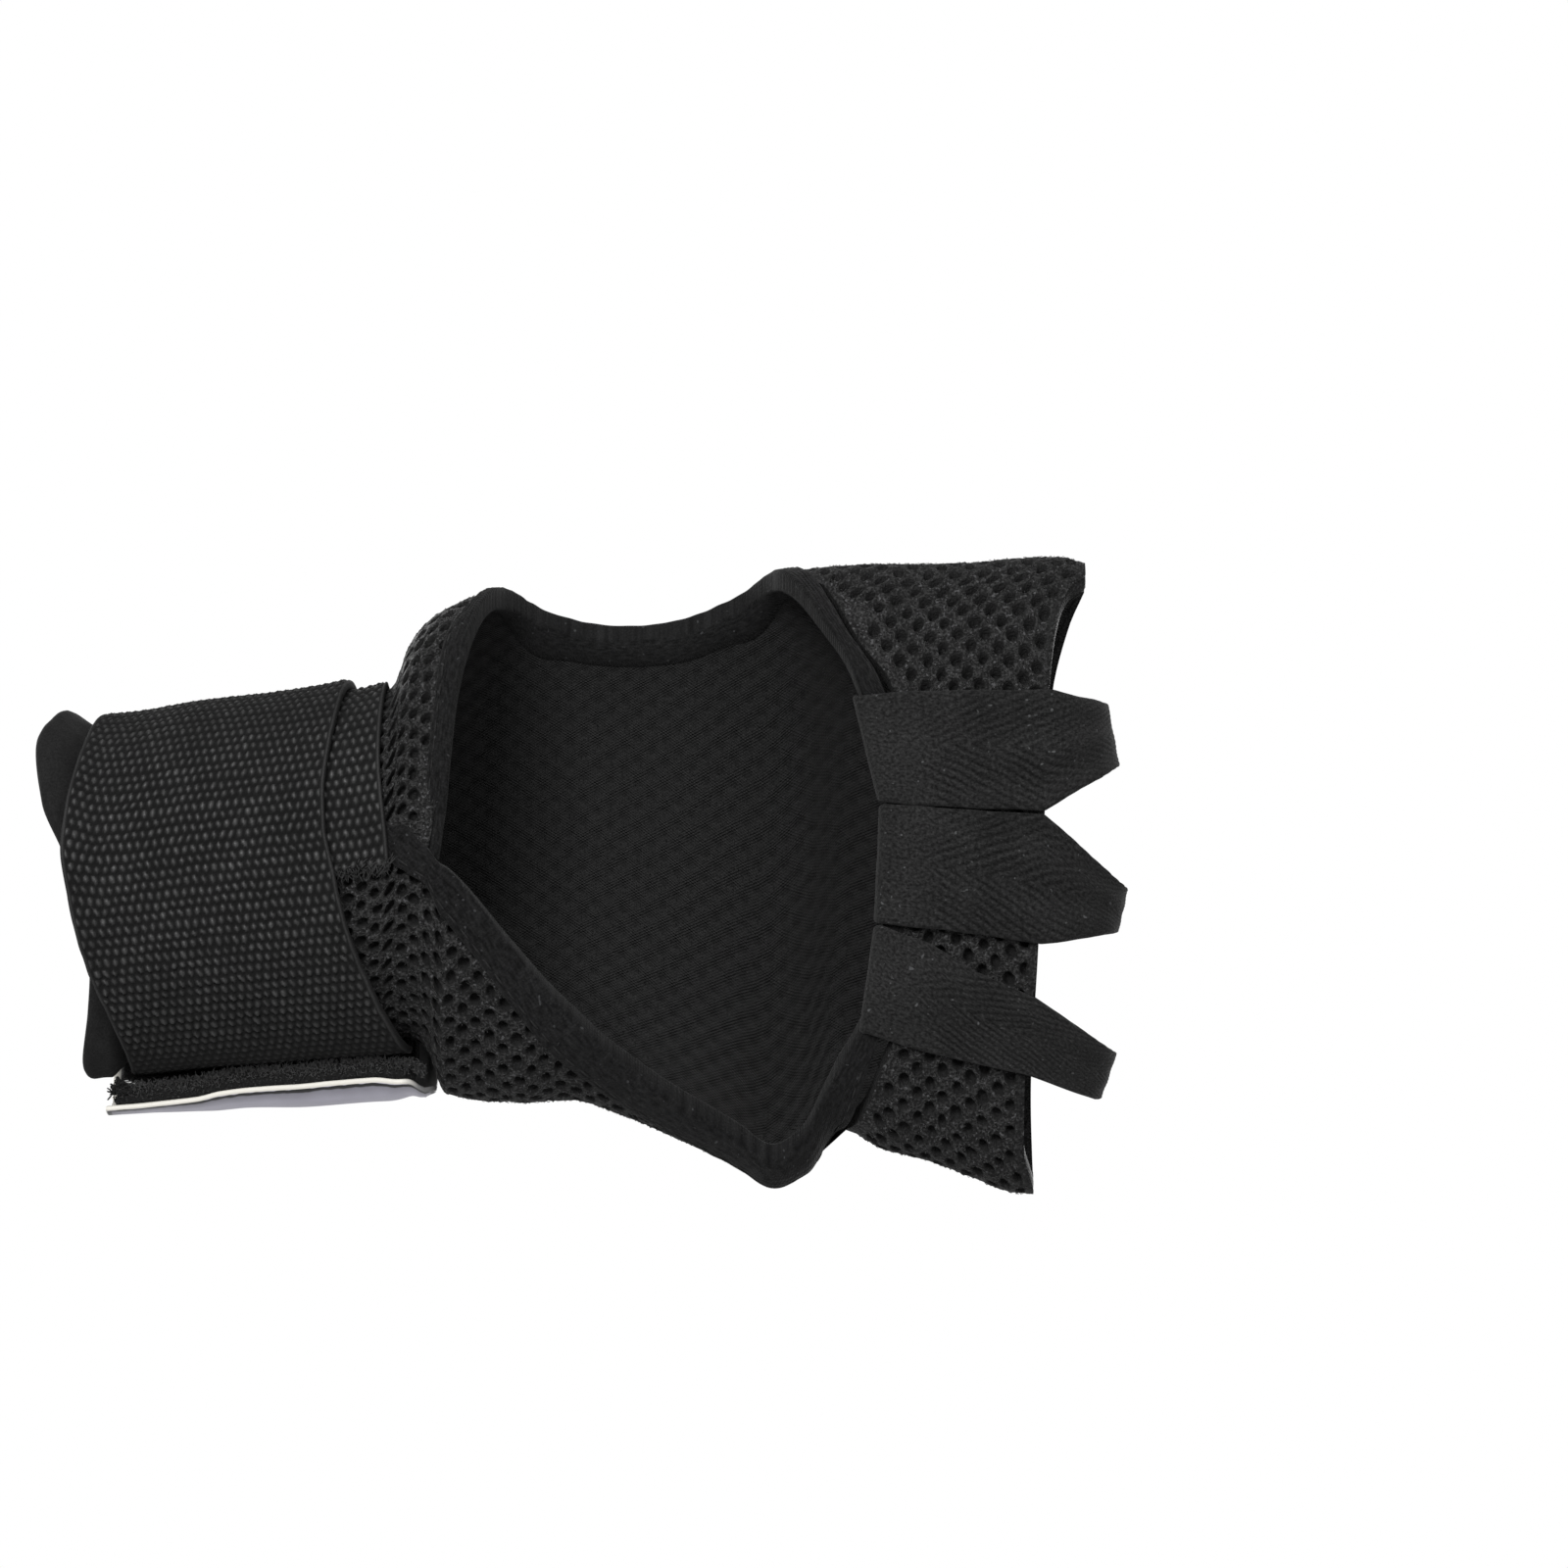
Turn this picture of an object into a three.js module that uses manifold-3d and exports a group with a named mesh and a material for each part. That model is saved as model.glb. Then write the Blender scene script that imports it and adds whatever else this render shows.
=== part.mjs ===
// A fingerless workout glove with a wrist wrap, for the left hand, in the shape that it has when worn.
// Millimetres, +Z up. The fingers point along +X, the thumb side is up (+Z), the palm faces -Y and the back of
// the hand +Y. The origin is the middle of the wrist, where the strap is wound.
import * as THREE from "three";
import { mergeVertices } from "three/addons/utils/BufferGeometryUtils.js";
import Module from "manifold-3d";

const wasm = await Module();
wasm.setup();

// Driving dimensions
const MESH_THICK = 2.5; // spacer mesh
const CUFF_THICK = 3.2; // padded cuff
const STRAP_THICK = 1.5; // woven elastic
const TAPE_THICK = 1.0; // herringbone twill
const TAB_THICK = 2.3; // hook tape on its webbing
const PATCH_THICK = 1.2; // moulded face of the tab
const GAP = 0.35; // between pieces that are sewn or wound on each other
const CUFF_END = -5; // the cuff and the mesh meet here, under the strap
const MESH_RINGS_END = 112; // past this x the rings lean over to the finger edge
const KNUCKLE_X = 124; // the section that the finger edge is read on
const STRAP_END = 641; // degrees of winding
const BINDING_STEPS = 3; // between two rows of its table
const TAB_FROM = 574;
const TAB_TO = 644;
const TAB_LEFT = -19;
const TAB_RIGHT = 29.4;
const OPENING_MIDDLE = { x: 54.5, z: -14 }; // every point of the palm opening's rim is in a straight line from it

// The glove's outer face, section by section along the hand: how far it reaches to the thumb side and the little
// finger's side (z), to the palm and the back (y), and how square the section is (2 is an ellipse).
const SECTIONS = [
  { x: -33, thumb: 27.2, pinky: -29.4, palm: -21.8, back: 20.8, square: 2.2 },
  { x: -26, thumb: 26.4, pinky: -29.0, palm: -21.6, back: 20.6, square: 2.2 },
  { x: -19, thumb: 23.0, pinky: -26.8, palm: -19.8, back: 18.8, square: 2.2 },
  { x: -5, thumb: 24.9, pinky: -25.4, palm: -19.4, back: 18.4, square: 2.2 },
  { x: 10, thumb: 26.8, pinky: -24.2, palm: -19.2, back: 18.2, square: 2.2 },
  { x: 18, thumb: 28.3, pinky: -23.7, palm: -19.1, back: 18.2, square: 2.2 },
  { x: 24.4, thumb: 30.3, pinky: -23.3, palm: -19.0, back: 18.2, square: 2.2 },
  { x: 27, thumb: 36.7, pinky: -23.1, palm: -19.2, back: 18.6, square: 2.25 },
  { x: 29.6, thumb: 40.2, pinky: -24.6, palm: -19.5, back: 18.9, square: 2.3 },
  { x: 32.6, thumb: 42.4, pinky: -31.5, palm: -19.8, back: 19.0, square: 2.35 },
  { x: 40, thumb: 45.1, pinky: -32.8, palm: -20.0, back: 18.8, square: 2.4 },
  { x: 52, thumb: 45.6, pinky: -32.6, palm: -19.4, back: 18.0, square: 2.45 },
  { x: 58, thumb: 45.8, pinky: -34.3, palm: -19.0, back: 17.6, square: 2.5 },
  { x: 70, thumb: 46.6, pinky: -39.4, palm: -18.2, back: 16.8, square: 2.5 },
  { x: 77, thumb: 47.2, pinky: -42.7, palm: -17.7, back: 16.4, square: 2.5 },
  { x: 82.6, thumb: 47.8, pinky: -45.9, palm: -17.3, back: 16.1, square: 2.5 },
  { x: 88, thumb: 48.5, pinky: -43.2, palm: -16.9, back: 15.8, square: 2.5 },
  { x: 92.8, thumb: 49.0, pinky: -36.9, palm: -16.5, back: 15.5, square: 2.5 },
  { x: 99.5, thumb: 49.3, pinky: -40.1, palm: -16.0, back: 15.1, square: 2.5 },
  { x: 106, thumb: 49.3, pinky: -41.7, palm: -15.5, back: 14.7, square: 2.5 },
  { x: 113, thumb: 49.5, pinky: -44.4, palm: -15.0, back: 14.2, square: 2.5 },
  { x: 120, thumb: 50.2, pinky: -46.8, palm: -14.4, back: 13.7, square: 2.5 },
  { x: 126, thumb: 50.4, pinky: -47.0, palm: -13.8, back: 13.2, square: 2.5 },
  { x: 131, thumb: 49.2, pinky: -46.8, palm: -13.4, back: 12.8, square: 2.5 },
];

// Soft folds in the mesh: a shallow hollow or ridge, its middle, its spread and its depth (outwards is positive).
const FOLDS = [
  { x: 30, degrees: 222, spreadX: 3, spreadDegrees: 26, depth: 0.9 },
  { x: 37, degrees: 232, spreadX: 3, spreadDegrees: 24, depth: -0.8 },
  { x: 45, degrees: 246, spreadX: 3, spreadDegrees: 20, depth: 0.7 },
  { x: 36, degrees: 128, spreadX: 4, spreadDegrees: 16, depth: 0.6 },
  { x: 104, degrees: 122, spreadX: 4, spreadDegrees: 14, depth: -0.7 },
  { x: 112, degrees: 142, spreadX: 4, spreadDegrees: 14, depth: 0.6 },
  { x: 104, degrees: 246, spreadX: 4, spreadDegrees: 14, depth: 0.7 },
  { x: 70, degrees: 20, spreadX: 5, spreadDegrees: 40, depth: -0.7 },
  { x: 84, degrees: -30, spreadX: 5, spreadDegrees: 30, depth: 0.8 },
];

// The forearm end of the cuff, by angle round the wrist (0 back, 90 thumb, 180 palm, 270 little finger).
const CUFF_RIM = [
  { degrees: -90, x: -20.2 },
  { degrees: -45, x: -21.6 },
  { degrees: 0, x: -22.6 },
  { degrees: 50, x: -24 },
  { degrees: 90, x: -25.6 },
  { degrees: 125, x: -29.4 },
  { degrees: 150, x: -28.2 },
  { degrees: 168, x: -24.8 },
  { degrees: 185, x: -22.4 },
  { degrees: 205, x: -21 },
  { degrees: 222, x: -21.4 },
  { degrees: 245, x: -22.4 },
  { degrees: 270, x: -20.2 },
];

// The finger end of the mesh, on the palm and on the back, by height.
const FINGER_EDGE_PALM = [
  { z: -46.4, x: 122.4 },
  { z: -40, x: 120.8 },
  { z: -29, x: 120.9 },
  { z: -13, x: 122.6 },
  { z: 10, x: 123.8 },
  { z: 30, x: 124.6 },
  { z: 38, x: 125.4 },
  { z: 43, x: 126.5 },
  { z: 46, x: 128 },
  { z: 48.4, x: 130.3 },
];
const FINGER_EDGE_BACK = [
  { z: -46.4, x: 122.4 },
  { z: -35, x: 122.2 },
  { z: -10, x: 123.4 },
  { z: 12, x: 124.4 },
  { z: 30, x: 125.4 },
  { z: 42, x: 128 },
  { z: 48.4, x: 130.3 },
];

// The tape round the palm and thumb opening, from the wrist corner round the little finger's side, up the palm
// edge, behind the thumb and back down to the wrist: its edge towards the skin, its edge towards the mesh, the
// face that each lies on, and how far the mesh stays away from it.
const BINDING = [
  { skinX: 24.9, skinZ: 8.2, meshX: 24.9, meshZ: 1.8, face: "palm", clear: GAP },
  { skinX: 29.5, skinZ: 4.6, meshX: 29.3, meshZ: -2.5, face: "palm", clear: GAP },
  { skinX: 34.5, skinZ: 0.3, meshX: 33.3, meshZ: -6.6, face: "palm", clear: GAP },
  { skinX: 38.5, skinZ: -3.4, meshX: 36.4, meshZ: -9.9, face: "palm", clear: GAP },
  { skinX: 43.6, skinZ: -9.4, meshX: 40.8, meshZ: -15.0, face: "palm", clear: GAP },
  { skinX: 49.5, skinZ: -16.6, meshX: 46.0, meshZ: -21.6, face: "palm", clear: GAP },
  { skinX: 55.4, skinZ: -22.5, meshX: 51.4, meshZ: -27.4, face: "palm", clear: GAP },
  { skinX: 61.2, skinZ: -27.5, meshX: 57.6, meshZ: -31.8, face: "palm", clear: GAP },
  { skinX: 66.9, skinZ: -31.6, meshX: 64.2, meshZ: -35.9, face: "palm", clear: GAP },
  { skinX: 72.8, skinZ: -35.2, meshX: 70.4, meshZ: -39.2, face: "palm", clear: GAP },
  { skinX: 78.2, skinZ: -38.6, meshX: 76.6, meshZ: -42.3, face: "palm", clear: GAP },
  { skinX: 83.0, skinZ: -41.2, meshX: 82.8, meshZ: -45.7, face: "palm", clear: GAP },
  { skinX: 86.6, skinZ: -38.6, meshX: 88.6, meshZ: -43.0, face: "palm", clear: GAP },
  { skinX: 89.4, skinZ: -33.8, meshX: 92.4, meshZ: -37.4, face: "palm", clear: 0.7 },
  { skinX: 91.8, skinZ: -29.1, meshX: 96.2, meshZ: -30.3, face: "palm", clear: 1.6 },
  { skinX: 94.6, skinZ: -22.4, meshX: 98.8, meshZ: -23.1, face: "palm", clear: 1.6 },
  { skinX: 96.5, skinZ: -15.7, meshX: 100.6, meshZ: -15.6, face: "palm", clear: 0.8 },
  { skinX: 98.4, skinZ: -6.0, meshX: 102.6, meshZ: -5.8, face: "palm", clear: GAP },
  { skinX: 99.3, skinZ: 4.0, meshX: 103.5, meshZ: 4.0, face: "palm", clear: GAP },
  { skinX: 99.0, skinZ: 13.0, meshX: 103.2, meshZ: 12.8, face: "palm", clear: GAP },
  { skinX: 97.2, skinZ: 24.0, meshX: 101.4, meshZ: 23.6, face: "palm", clear: 0.6 },
  { skinX: 94.4, skinZ: 33.6, meshX: 98.4, meshZ: 32.4, face: "palm", clear: 1.2 },
  { skinX: 89.8, skinZ: 41.2, meshX: 93.4, meshZ: 39.8, face: "palm", clear: 0.9 },
  { skinX: 85.2, skinZ: 46.9, meshX: 88.4, meshZ: 47.4, face: "palm", clear: GAP },
  { skinX: 79.6, skinZ: 45.9, meshX: 82.0, meshZ: 42.4, face: "back", clear: GAP },
  { skinX: 73.6, skinZ: 42.8, meshX: 75.0, meshZ: 38.8, face: "back", clear: GAP },
  { skinX: 66.8, skinZ: 40.6, meshX: 67.4, meshZ: 36.4, face: "back", clear: GAP },
  { skinX: 59.8, skinZ: 39.8, meshX: 59.6, meshZ: 35.6, face: "back", clear: GAP },
  { skinX: 52.8, skinZ: 40.6, meshX: 51.6, meshZ: 36.5, face: "back", clear: GAP },
  { skinX: 46.4, skinZ: 42.8, meshX: 44.0, meshZ: 39.2, face: "back", clear: GAP },
  { skinX: 41.0, skinZ: 45.3, meshX: 37.6, meshZ: 44.2, face: "palm", clear: GAP },
  { skinX: 36.9, skinZ: 37.6, meshX: 33.2, meshZ: 38.2, face: "palm", clear: GAP },
  { skinX: 35.4, skinZ: 29.7, meshX: 31.6, meshZ: 28.6, face: "palm", clear: GAP },
  { skinX: 34.8, skinZ: 21.6, meshX: 30.2, meshZ: 20.2, face: "palm", clear: GAP },
  { skinX: 34.2, skinZ: 11.4, meshX: 28.9, meshZ: 11.2, face: "palm", clear: GAP },
  { skinX: 34.3, skinZ: 1.6, meshX: 28.6, meshZ: 6.6, face: "palm", clear: GAP },
];

// The strap's winding, in degrees from its sewn end on the palm, over the thumb side, the back and the little
// finger's side and round again: the middle of the band and half its reach along the hand.
const WINDING = [
  { wound: 0, middle: 5.0, half: 19.5 },
  { wound: 38, middle: 3.5, half: 19.5 },
  { wound: 90, middle: 4.2, half: 19.6 },
  { wound: 180, middle: 4.4, half: 20 },
  { wound: 262, middle: 6.0, half: 21.2 },
  { wound: 278, middle: 5.4, half: 22.2 },
  { wound: 298, middle: 2.5, half: 21.8 },
  { wound: 322, middle: 0.1, half: 21.6 },
  { wound: 341, middle: -1.9, half: 20.8 },
  { wound: 360, middle: -3.8, half: 20.2 },
  { wound: 373, middle: -5.1, half: 20 },
  { wound: 385, middle: -4.9, half: 19.6 },
  { wound: 400, middle: -3.9, half: 19.3 },
  { wound: 418, middle: -2.6, half: 19.1 },
  { wound: 447, middle: -0.9, half: 18.9 },
  { wound: 540, middle: 2, half: 20 },
  { wound: 641, middle: 5.6, half: 20.6 },
];
// The second turn climbs onto the first between these two angles of winding.
const CLIMB = { from: 290, to: 346 };

// The finger tapes: both edges on the palm from the palm edge to where the tape leaves the mesh, then the two ends
// of its fold in the gap between the fingers, and its hem on the back.
const TAPES = [
  {
    name: "index_middle_tape",
    palm: [
      { lowX: 98.9, lowZ: 13.0, highX: 95.0, highZ: 29.0 },
      { lowX: 106.5, lowZ: 12.6, highX: 105.0, highZ: 29.6 },
      { lowX: 115.0, lowZ: 12.1, highX: 115.0, highZ: 29.8 },
      { lowX: 123.9, lowZ: 11.9, highX: 125.0, highZ: 29.8 },
    ],
    fold: { lowX: 134.6, lowZ: 18.4, highX: 132.8, highZ: 28.0 },
    hem: { lowX: 104.0, lowZ: 12.5, highX: 104.0, highZ: 29.5 },
  },
  {
    name: "middle_ring_tape",
    palm: [
      { lowX: 98.3, lowZ: -5.2, highX: 99.1, highZ: 12.4 },
      { lowX: 106.5, lowZ: -6.0, highX: 106.5, highZ: 12.0 },
      { lowX: 115.0, lowZ: -7.1, highX: 115.0, highZ: 11.4 },
      { lowX: 123.3, lowZ: -8.4, highX: 123.8, highZ: 10.9 },
    ],
    fold: { lowX: 134.4, lowZ: -7.0, highX: 135.9, highZ: -0.3 },
    hem: { lowX: 104.0, lowZ: -6.2, highX: 104.0, highZ: 11.6 },
  },
  {
    name: "ring_pinky_tape",
    palm: [
      { lowX: 96.0, lowZ: -22.0, highX: 98.3, highZ: -5.9 },
      { lowX: 106.0, lowZ: -24.9, highX: 106.4, highZ: -8.6 },
      { lowX: 113.5, lowZ: -26.7, highX: 113.5, highZ: -12.9 },
      { lowX: 121.0, lowZ: -28.3, highX: 122.6, highZ: -17.0 },
    ],
    fold: { lowX: 131.8, lowZ: -32.4, highX: 134.2, highZ: -25.4 },
    hem: { lowX: 103.0, lowZ: -24.4, highX: 104.0, highZ: -8.4 },
  },
];

const CLOTH_BLACK = 0x232425;
const MESH_BLACK = 0x2a2b2c;
const STRAP_BLACK = 0x2c2d2e;
const PATCH_GREY = 0x7c7a88;

const radians = (degrees) => (degrees * Math.PI) / 180;
const lerp = THREE.MathUtils.lerp;
const clamp = THREE.MathUtils.clamp;
const smooth = THREE.MathUtils.smoothstep;

// A smooth function through one column of a table that never overshoots its rows (a monotone cubic).
function column(table, at, name) {
  const xs = table.map((row) => row[at]);
  const ys = table.map((row) => row[name]);
  const slopes = xs.slice(1).map((x, i) => (ys[i + 1] - ys[i]) / (x - xs[i]));
  const tangents = xs.map((_, i) => {
    if (i === 0) return slopes[0];
    if (i === xs.length - 1) return slopes[i - 1];
    const [before, after] = [slopes[i - 1], slopes[i]];
    return before * after <= 0 ? 0 : (2 * before * after) / (before + after);
  });
  return (x) => {
    const at = clamp(x, xs[0], xs[xs.length - 1]);
    const i = Math.max(0, Math.min(xs.length - 2, xs.findIndex((value) => value > at) - 1));
    const last = at >= xs[xs.length - 1] ? xs.length - 2 : i;
    const width = xs[last + 1] - xs[last];
    const t = (at - xs[last]) / width;
    const [a, b, ta, tb] = [ys[last], ys[last + 1], tangents[last] * width, tangents[last + 1] * width];
    const t2 = t * t;
    const t3 = t2 * t;
    return a * (2 * t3 - 3 * t2 + 1) + ta * (t3 - 2 * t2 + t) + b * (3 * t2 - 2 * t3) + tb * (t3 - t2);
  };
}

const sectionColumns = Object.fromEntries(
  ["thumb", "pinky", "palm", "back", "square"].map((name) => [name, column(SECTIONS, "x", name)]),
);

// The section at x: its middle (y, z), its half sizes and its squareness.
function sectionAt(x) {
  const [thumb, pinky] = [sectionColumns.thumb(x), sectionColumns.pinky(x)];
  const [palm, back] = [sectionColumns.palm(x), sectionColumns.back(x)];
  return {
    midY: (palm + back) / 2,
    midZ: (thumb + pinky) / 2,
    halfY: (back - palm) / 2,
    halfZ: (thumb - pinky) / 2,
    square: sectionColumns.square(x),
  };
}

// How far the folds lift the face at x and an angle.
function foldLift(x, angle) {
  const degrees = (angle * 180) / Math.PI;
  return FOLDS.reduce((sum, fold) => {
    const turn = ((((degrees - fold.degrees + 180) % 360) + 360) % 360) - 180;
    const far = ((x - fold.x) / fold.spreadX) ** 2 + (turn / fold.spreadDegrees) ** 2;
    return sum + fold.depth * Math.exp(-far);
  }, 0);
}

// The glove's outer face, lifted: y goes with cos and z with sin of the angle, each raised to 2 / square.
function face(x, angle, lift) {
  const s = sectionAt(x);
  const out = lift + foldLift(x, angle);
  const bend = (value) => Math.sign(value) * Math.abs(value) ** (2 / s.square);
  const y = s.midY + (s.halfY + out) * bend(Math.cos(angle));
  return [x, y, s.midZ + (s.halfZ + out) * bend(Math.sin(angle))];
}

// The angle at which the face has height z, on the palm or on the back.
function angleAt(x, z, side) {
  const s = sectionAt(x);
  const share = clamp((z - s.midZ) / s.halfZ, -1, 1);
  const turn = Math.asin(Math.sign(share) * Math.abs(share) ** (s.square / 2));
  return side === "palm" ? Math.PI - turn : turn;
}

// A mesh from points and triangles, turned so that its faces point outwards.
function solid(points, triangles) {
  const volume = triangles.reduce((sum, [a, b, c]) => {
    const [p, q, r] = [points[a], points[b], points[c]].map((point) => new THREE.Vector3(...point));
    return sum + p.dot(q.cross(r));
  }, 0);
  const turned = volume < 0 ? triangles.map(([a, b, c]) => [a, c, b]) : triangles;
  const geometry = new THREE.BufferGeometry();
  geometry.setAttribute("position", new THREE.Float32BufferAttribute(points.flat(), 3));
  geometry.setIndex(turned.flat());
  return geometry;
}

// A closed wall between an inner and an outer grid. place(i, j, outer) gives a point, outer being 0 or 1. A ring
// joins its last column to its first.
function wall(rows, columns, place, ring = false) {
  const width = ring ? columns : columns + 1;
  const points = [];
  for (const outer of [0, 1])
    for (let i = 0; i <= rows; i++) for (let j = 0; j < width; j++) points.push(place(i, j, outer));
  const at = (outer, i, j) => (outer * (rows + 1) + i) * width + (j % width);
  const triangles = [];
  const quad = (a, b, c, d) => triangles.push([a, b, c], [a, c, d]);
  for (let i = 0; i < rows; i++)
    for (let j = 0; j < columns; j++) {
      quad(at(1, i, j), at(1, i + 1, j), at(1, i + 1, j + 1), at(1, i, j + 1));
      quad(at(0, i, j), at(0, i, j + 1), at(0, i + 1, j + 1), at(0, i + 1, j));
    }
  for (let j = 0; j < columns; j++) {
    quad(at(1, 0, j), at(1, 0, j + 1), at(0, 0, j + 1), at(0, 0, j));
    quad(at(1, rows, j + 1), at(1, rows, j), at(0, rows, j), at(0, rows, j + 1));
  }
  for (let i = 0; i < rows && !ring; i++) {
    quad(at(1, i + 1, 0), at(1, i, 0), at(0, i, 0), at(0, i + 1, 0));
    quad(at(1, i, columns), at(1, i + 1, columns), at(0, i + 1, columns), at(0, i, columns));
  }
  return solid(points, triangles);
}

// A geometry as a manifold solid, and back.
function toManifold(geometry) {
  const bare = geometry.clone();
  bare.deleteAttribute("normal");
  bare.deleteAttribute("uv");
  const merged = mergeVertices(bare, 1e-4);
  return new wasm.Manifold(
    new wasm.Mesh({
      numProp: 3,
      vertProperties: new Float32Array(merged.attributes.position.array),
      triVerts: new Uint32Array(merged.index.array),
    }),
  );
}

function fromManifold(made) {
  const mesh = made.getMesh();
  const geometry = new THREE.BufferGeometry();
  geometry.setAttribute("position", new THREE.BufferAttribute(new Float32Array(mesh.vertProperties), 3));
  geometry.setIndex(new THREE.BufferAttribute(new Uint32Array(mesh.triVerts), 1));
  return geometry;
}

// The binding's two edges as places (x, angle) on the face, and the stand-off of the mesh, along the whole tape.
const bindingEdges = BINDING.map((row) => ({
  skin: [row.skinX, angleAt(row.skinX, row.skinZ, row.face)],
  mesh: [row.meshX, angleAt(row.meshX, row.meshZ, row.face)],
  clear: row.clear,
}));

// A place across the binding: 0 is its skin edge and 1 its mesh edge. along runs from 0 to the last row.
function onBinding(along, across) {
  const last = bindingEdges.length - 1;
  const i = Math.min(Math.floor(along), last - 1);
  const t = along - i;
  const rows = [i - 1, i, i + 1, i + 2].map((n) => bindingEdges[clamp(n, 0, last)]);
  const spline = (edge, axis) => {
    const [a, b, c, d] = rows.map((row) => row[edge][axis]);
    return b + 0.5 * t * (c - a + t * (2 * a - 5 * b + 4 * c - d + t * (3 * (b - c) + d - a)));
  };
  const [skinX, meshX] = [spline("skin", 0), spline("mesh", 0)];
  const [skinAngle, meshAngle] = [spline("skin", 1), spline("mesh", 1)];
  return [lerp(skinX, meshX, across), lerp(skinAngle, meshAngle, across)];
}

// The binding's width at a place along it.
function bindingWidth(along) {
  const ends = [0, 1].map((across) => new THREE.Vector3(...face(...onBinding(along, across), 0)));
  return ends[0].distanceTo(ends[1]);
}

function makeBinding() {
  const steps = (bindingEdges.length - 1) * BINDING_STEPS;
  const columns = 3;
  const inside = -MESH_THICK - 0.3;
  const edgeLift = 0.2;
  const crown = 0.45;
  return wall(steps, columns, (i, j, outer) => {
    const [x, angle] = onBinding(i / BINDING_STEPS, j / columns);
    const round = Math.sin((j / columns) * Math.PI);
    return face(x, angle, outer ? edgeLift + crown * round : inside + edgeLift * (1 - round));
  });
}

// A plug through the wall, as wide as the palm opening with its binding: it cuts the mesh's edge.
function makeOpening() {
  const steps = (bindingEdges.length - 1) * BINDING_STEPS;
  const rim = [];
  for (let n = 0; n <= steps; n++) {
    const along = n / BINDING_STEPS;
    const clear = bindingEdges[Math.round(along)].clear;
    rim.push(onBinding(along, 1 + clear / bindingWidth(along)));
  }
  for (const along of [2 / 3, 1 / 3, 0]) rim.push(onBinding(along, -GAP / bindingWidth(along)));
  const first = BINDING[0];
  rim.push([first.skinX - GAP, angleAt(first.skinX, first.skinZ + GAP, "palm")]);
  rim.push([first.skinX - GAP, angleAt(first.skinX, first.meshZ - GAP, "palm")]);
  const middle = [OPENING_MIDDLE.x, angleAt(OPENING_MIDDLE.x, OPENING_MIDDLE.z, "palm")];
  const rings = 9;
  const lifts = [-MESH_THICK - 3, 5]; // well inside and outside the wall
  const points = [];
  for (const lift of lifts) {
    points.push(face(...middle, lift));
    for (let ring = 1; ring <= rings; ring++)
      for (const place of rim)
        points.push(face(...place.map((value, axis) => lerp(middle[axis], value, ring / rings)), lift));
  }
  const count = rim.length;
  const base = (side) => side * (1 + rings * count);
  const at = (side, ring, j) => base(side) + 1 + (ring - 1) * count + (j % count);
  const triangles = [];
  const add = (side, a, b, c) => triangles.push(side ? [a, b, c] : [a, c, b]);
  for (const side of [0, 1])
    for (let j = 0; j < count; j++) {
      add(side, base(side), at(side, 1, j), at(side, 1, j + 1));
      for (let ring = 1; ring < rings; ring++) {
        add(side, at(side, ring, j), at(side, ring + 1, j), at(side, ring + 1, j + 1));
        add(side, at(side, ring, j), at(side, ring + 1, j + 1), at(side, ring, j + 1));
      }
    }
  for (let j = 0; j < count; j++) {
    triangles.push([at(1, rings, j), at(0, rings, j), at(0, rings, j + 1)]);
    triangles.push([at(1, rings, j), at(0, rings, j + 1), at(1, rings, j + 1)]);
  }
  return solid(points, triangles);
}

const fingerEdge = {
  palm: column(FINGER_EDGE_PALM, "z", "x"),
  back: column(FINGER_EDGE_BACK, "z", "x"),
};

// The x of the mesh's finger end at an angle.
function fingerEnd(angle) {
  const z = face(KNUCKLE_X, angle, 0)[2];
  return Math.cos(angle) < 0 ? fingerEdge.palm(z) : fingerEdge.back(z);
}

function makeShell() {
  const rings = [CUFF_END + GAP, 8, 20, 24.4, 26, 27.6, 29.6, 31.4, 33.4, 37, 42, 50, 58];
  rings.push(64, 70, 75, 79, 82.6, 86, 89.5, 92.8, 96.5, 101, 106, MESH_RINGS_END);
  const leaning = 2;
  const columns = 40;
  const rows = rings.length - 1 + leaning;
  const tube = wall(
    rows,
    columns,
    (i, j, outer) => {
      const angle = radians((j / columns) * 360);
      const lean = i - (rings.length - 1);
      const x = lean <= 0 ? rings[i] : lerp(MESH_RINGS_END, fingerEnd(angle), lean / leaning);
      return face(x, angle, outer ? 0 : -MESH_THICK);
    },
    true,
  );
  return fromManifold(toManifold(tube).subtract(toManifold(makeOpening())));
}

function makeCuff() {
  const rim = column(CUFF_RIM, "degrees", "x");
  const shares = [0, 0.07, 0.18, 0.4, 0.7, 1]; // of the way from the rim to the mesh
  const rounding = [0.9, 0.3, 0, 0, 0, 0]; // how far both faces draw in there
  const columns = 40;
  return wall(
    shares.length - 1,
    columns,
    (i, j, outer) => {
      const degrees = (j / columns) * 360 - 90;
      const x = lerp(rim(degrees), CUFF_END, shares[i]);
      return face(x, radians(degrees), outer ? -rounding[i] : -CUFF_THICK + rounding[i]);
    },
    true,
  );
}

const winding = { middle: column(WINDING, "wound", "middle"), half: column(WINDING, "wound", "half") };

// A point of a band wound on the wrist: degrees of winding, x along the hand, and height above the winding's bed.
function onWinding(wound, x, height) {
  const bed = GAP + (STRAP_THICK + GAP) * smooth(wound, CLIMB.from, CLIMB.to);
  return face(x, radians(180 - wound), bed + height);
}

function makeStrap() {
  const steps = 72;
  const columns = 5;
  return wall(steps, columns, (i, j, outer) => {
    const wound = (i / steps) * STRAP_END;
    const x = winding.middle(wound) + winding.half(wound) * ((2 * j) / columns - 1);
    return onWinding(wound, x, outer * STRAP_THICK);
  });
}

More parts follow.
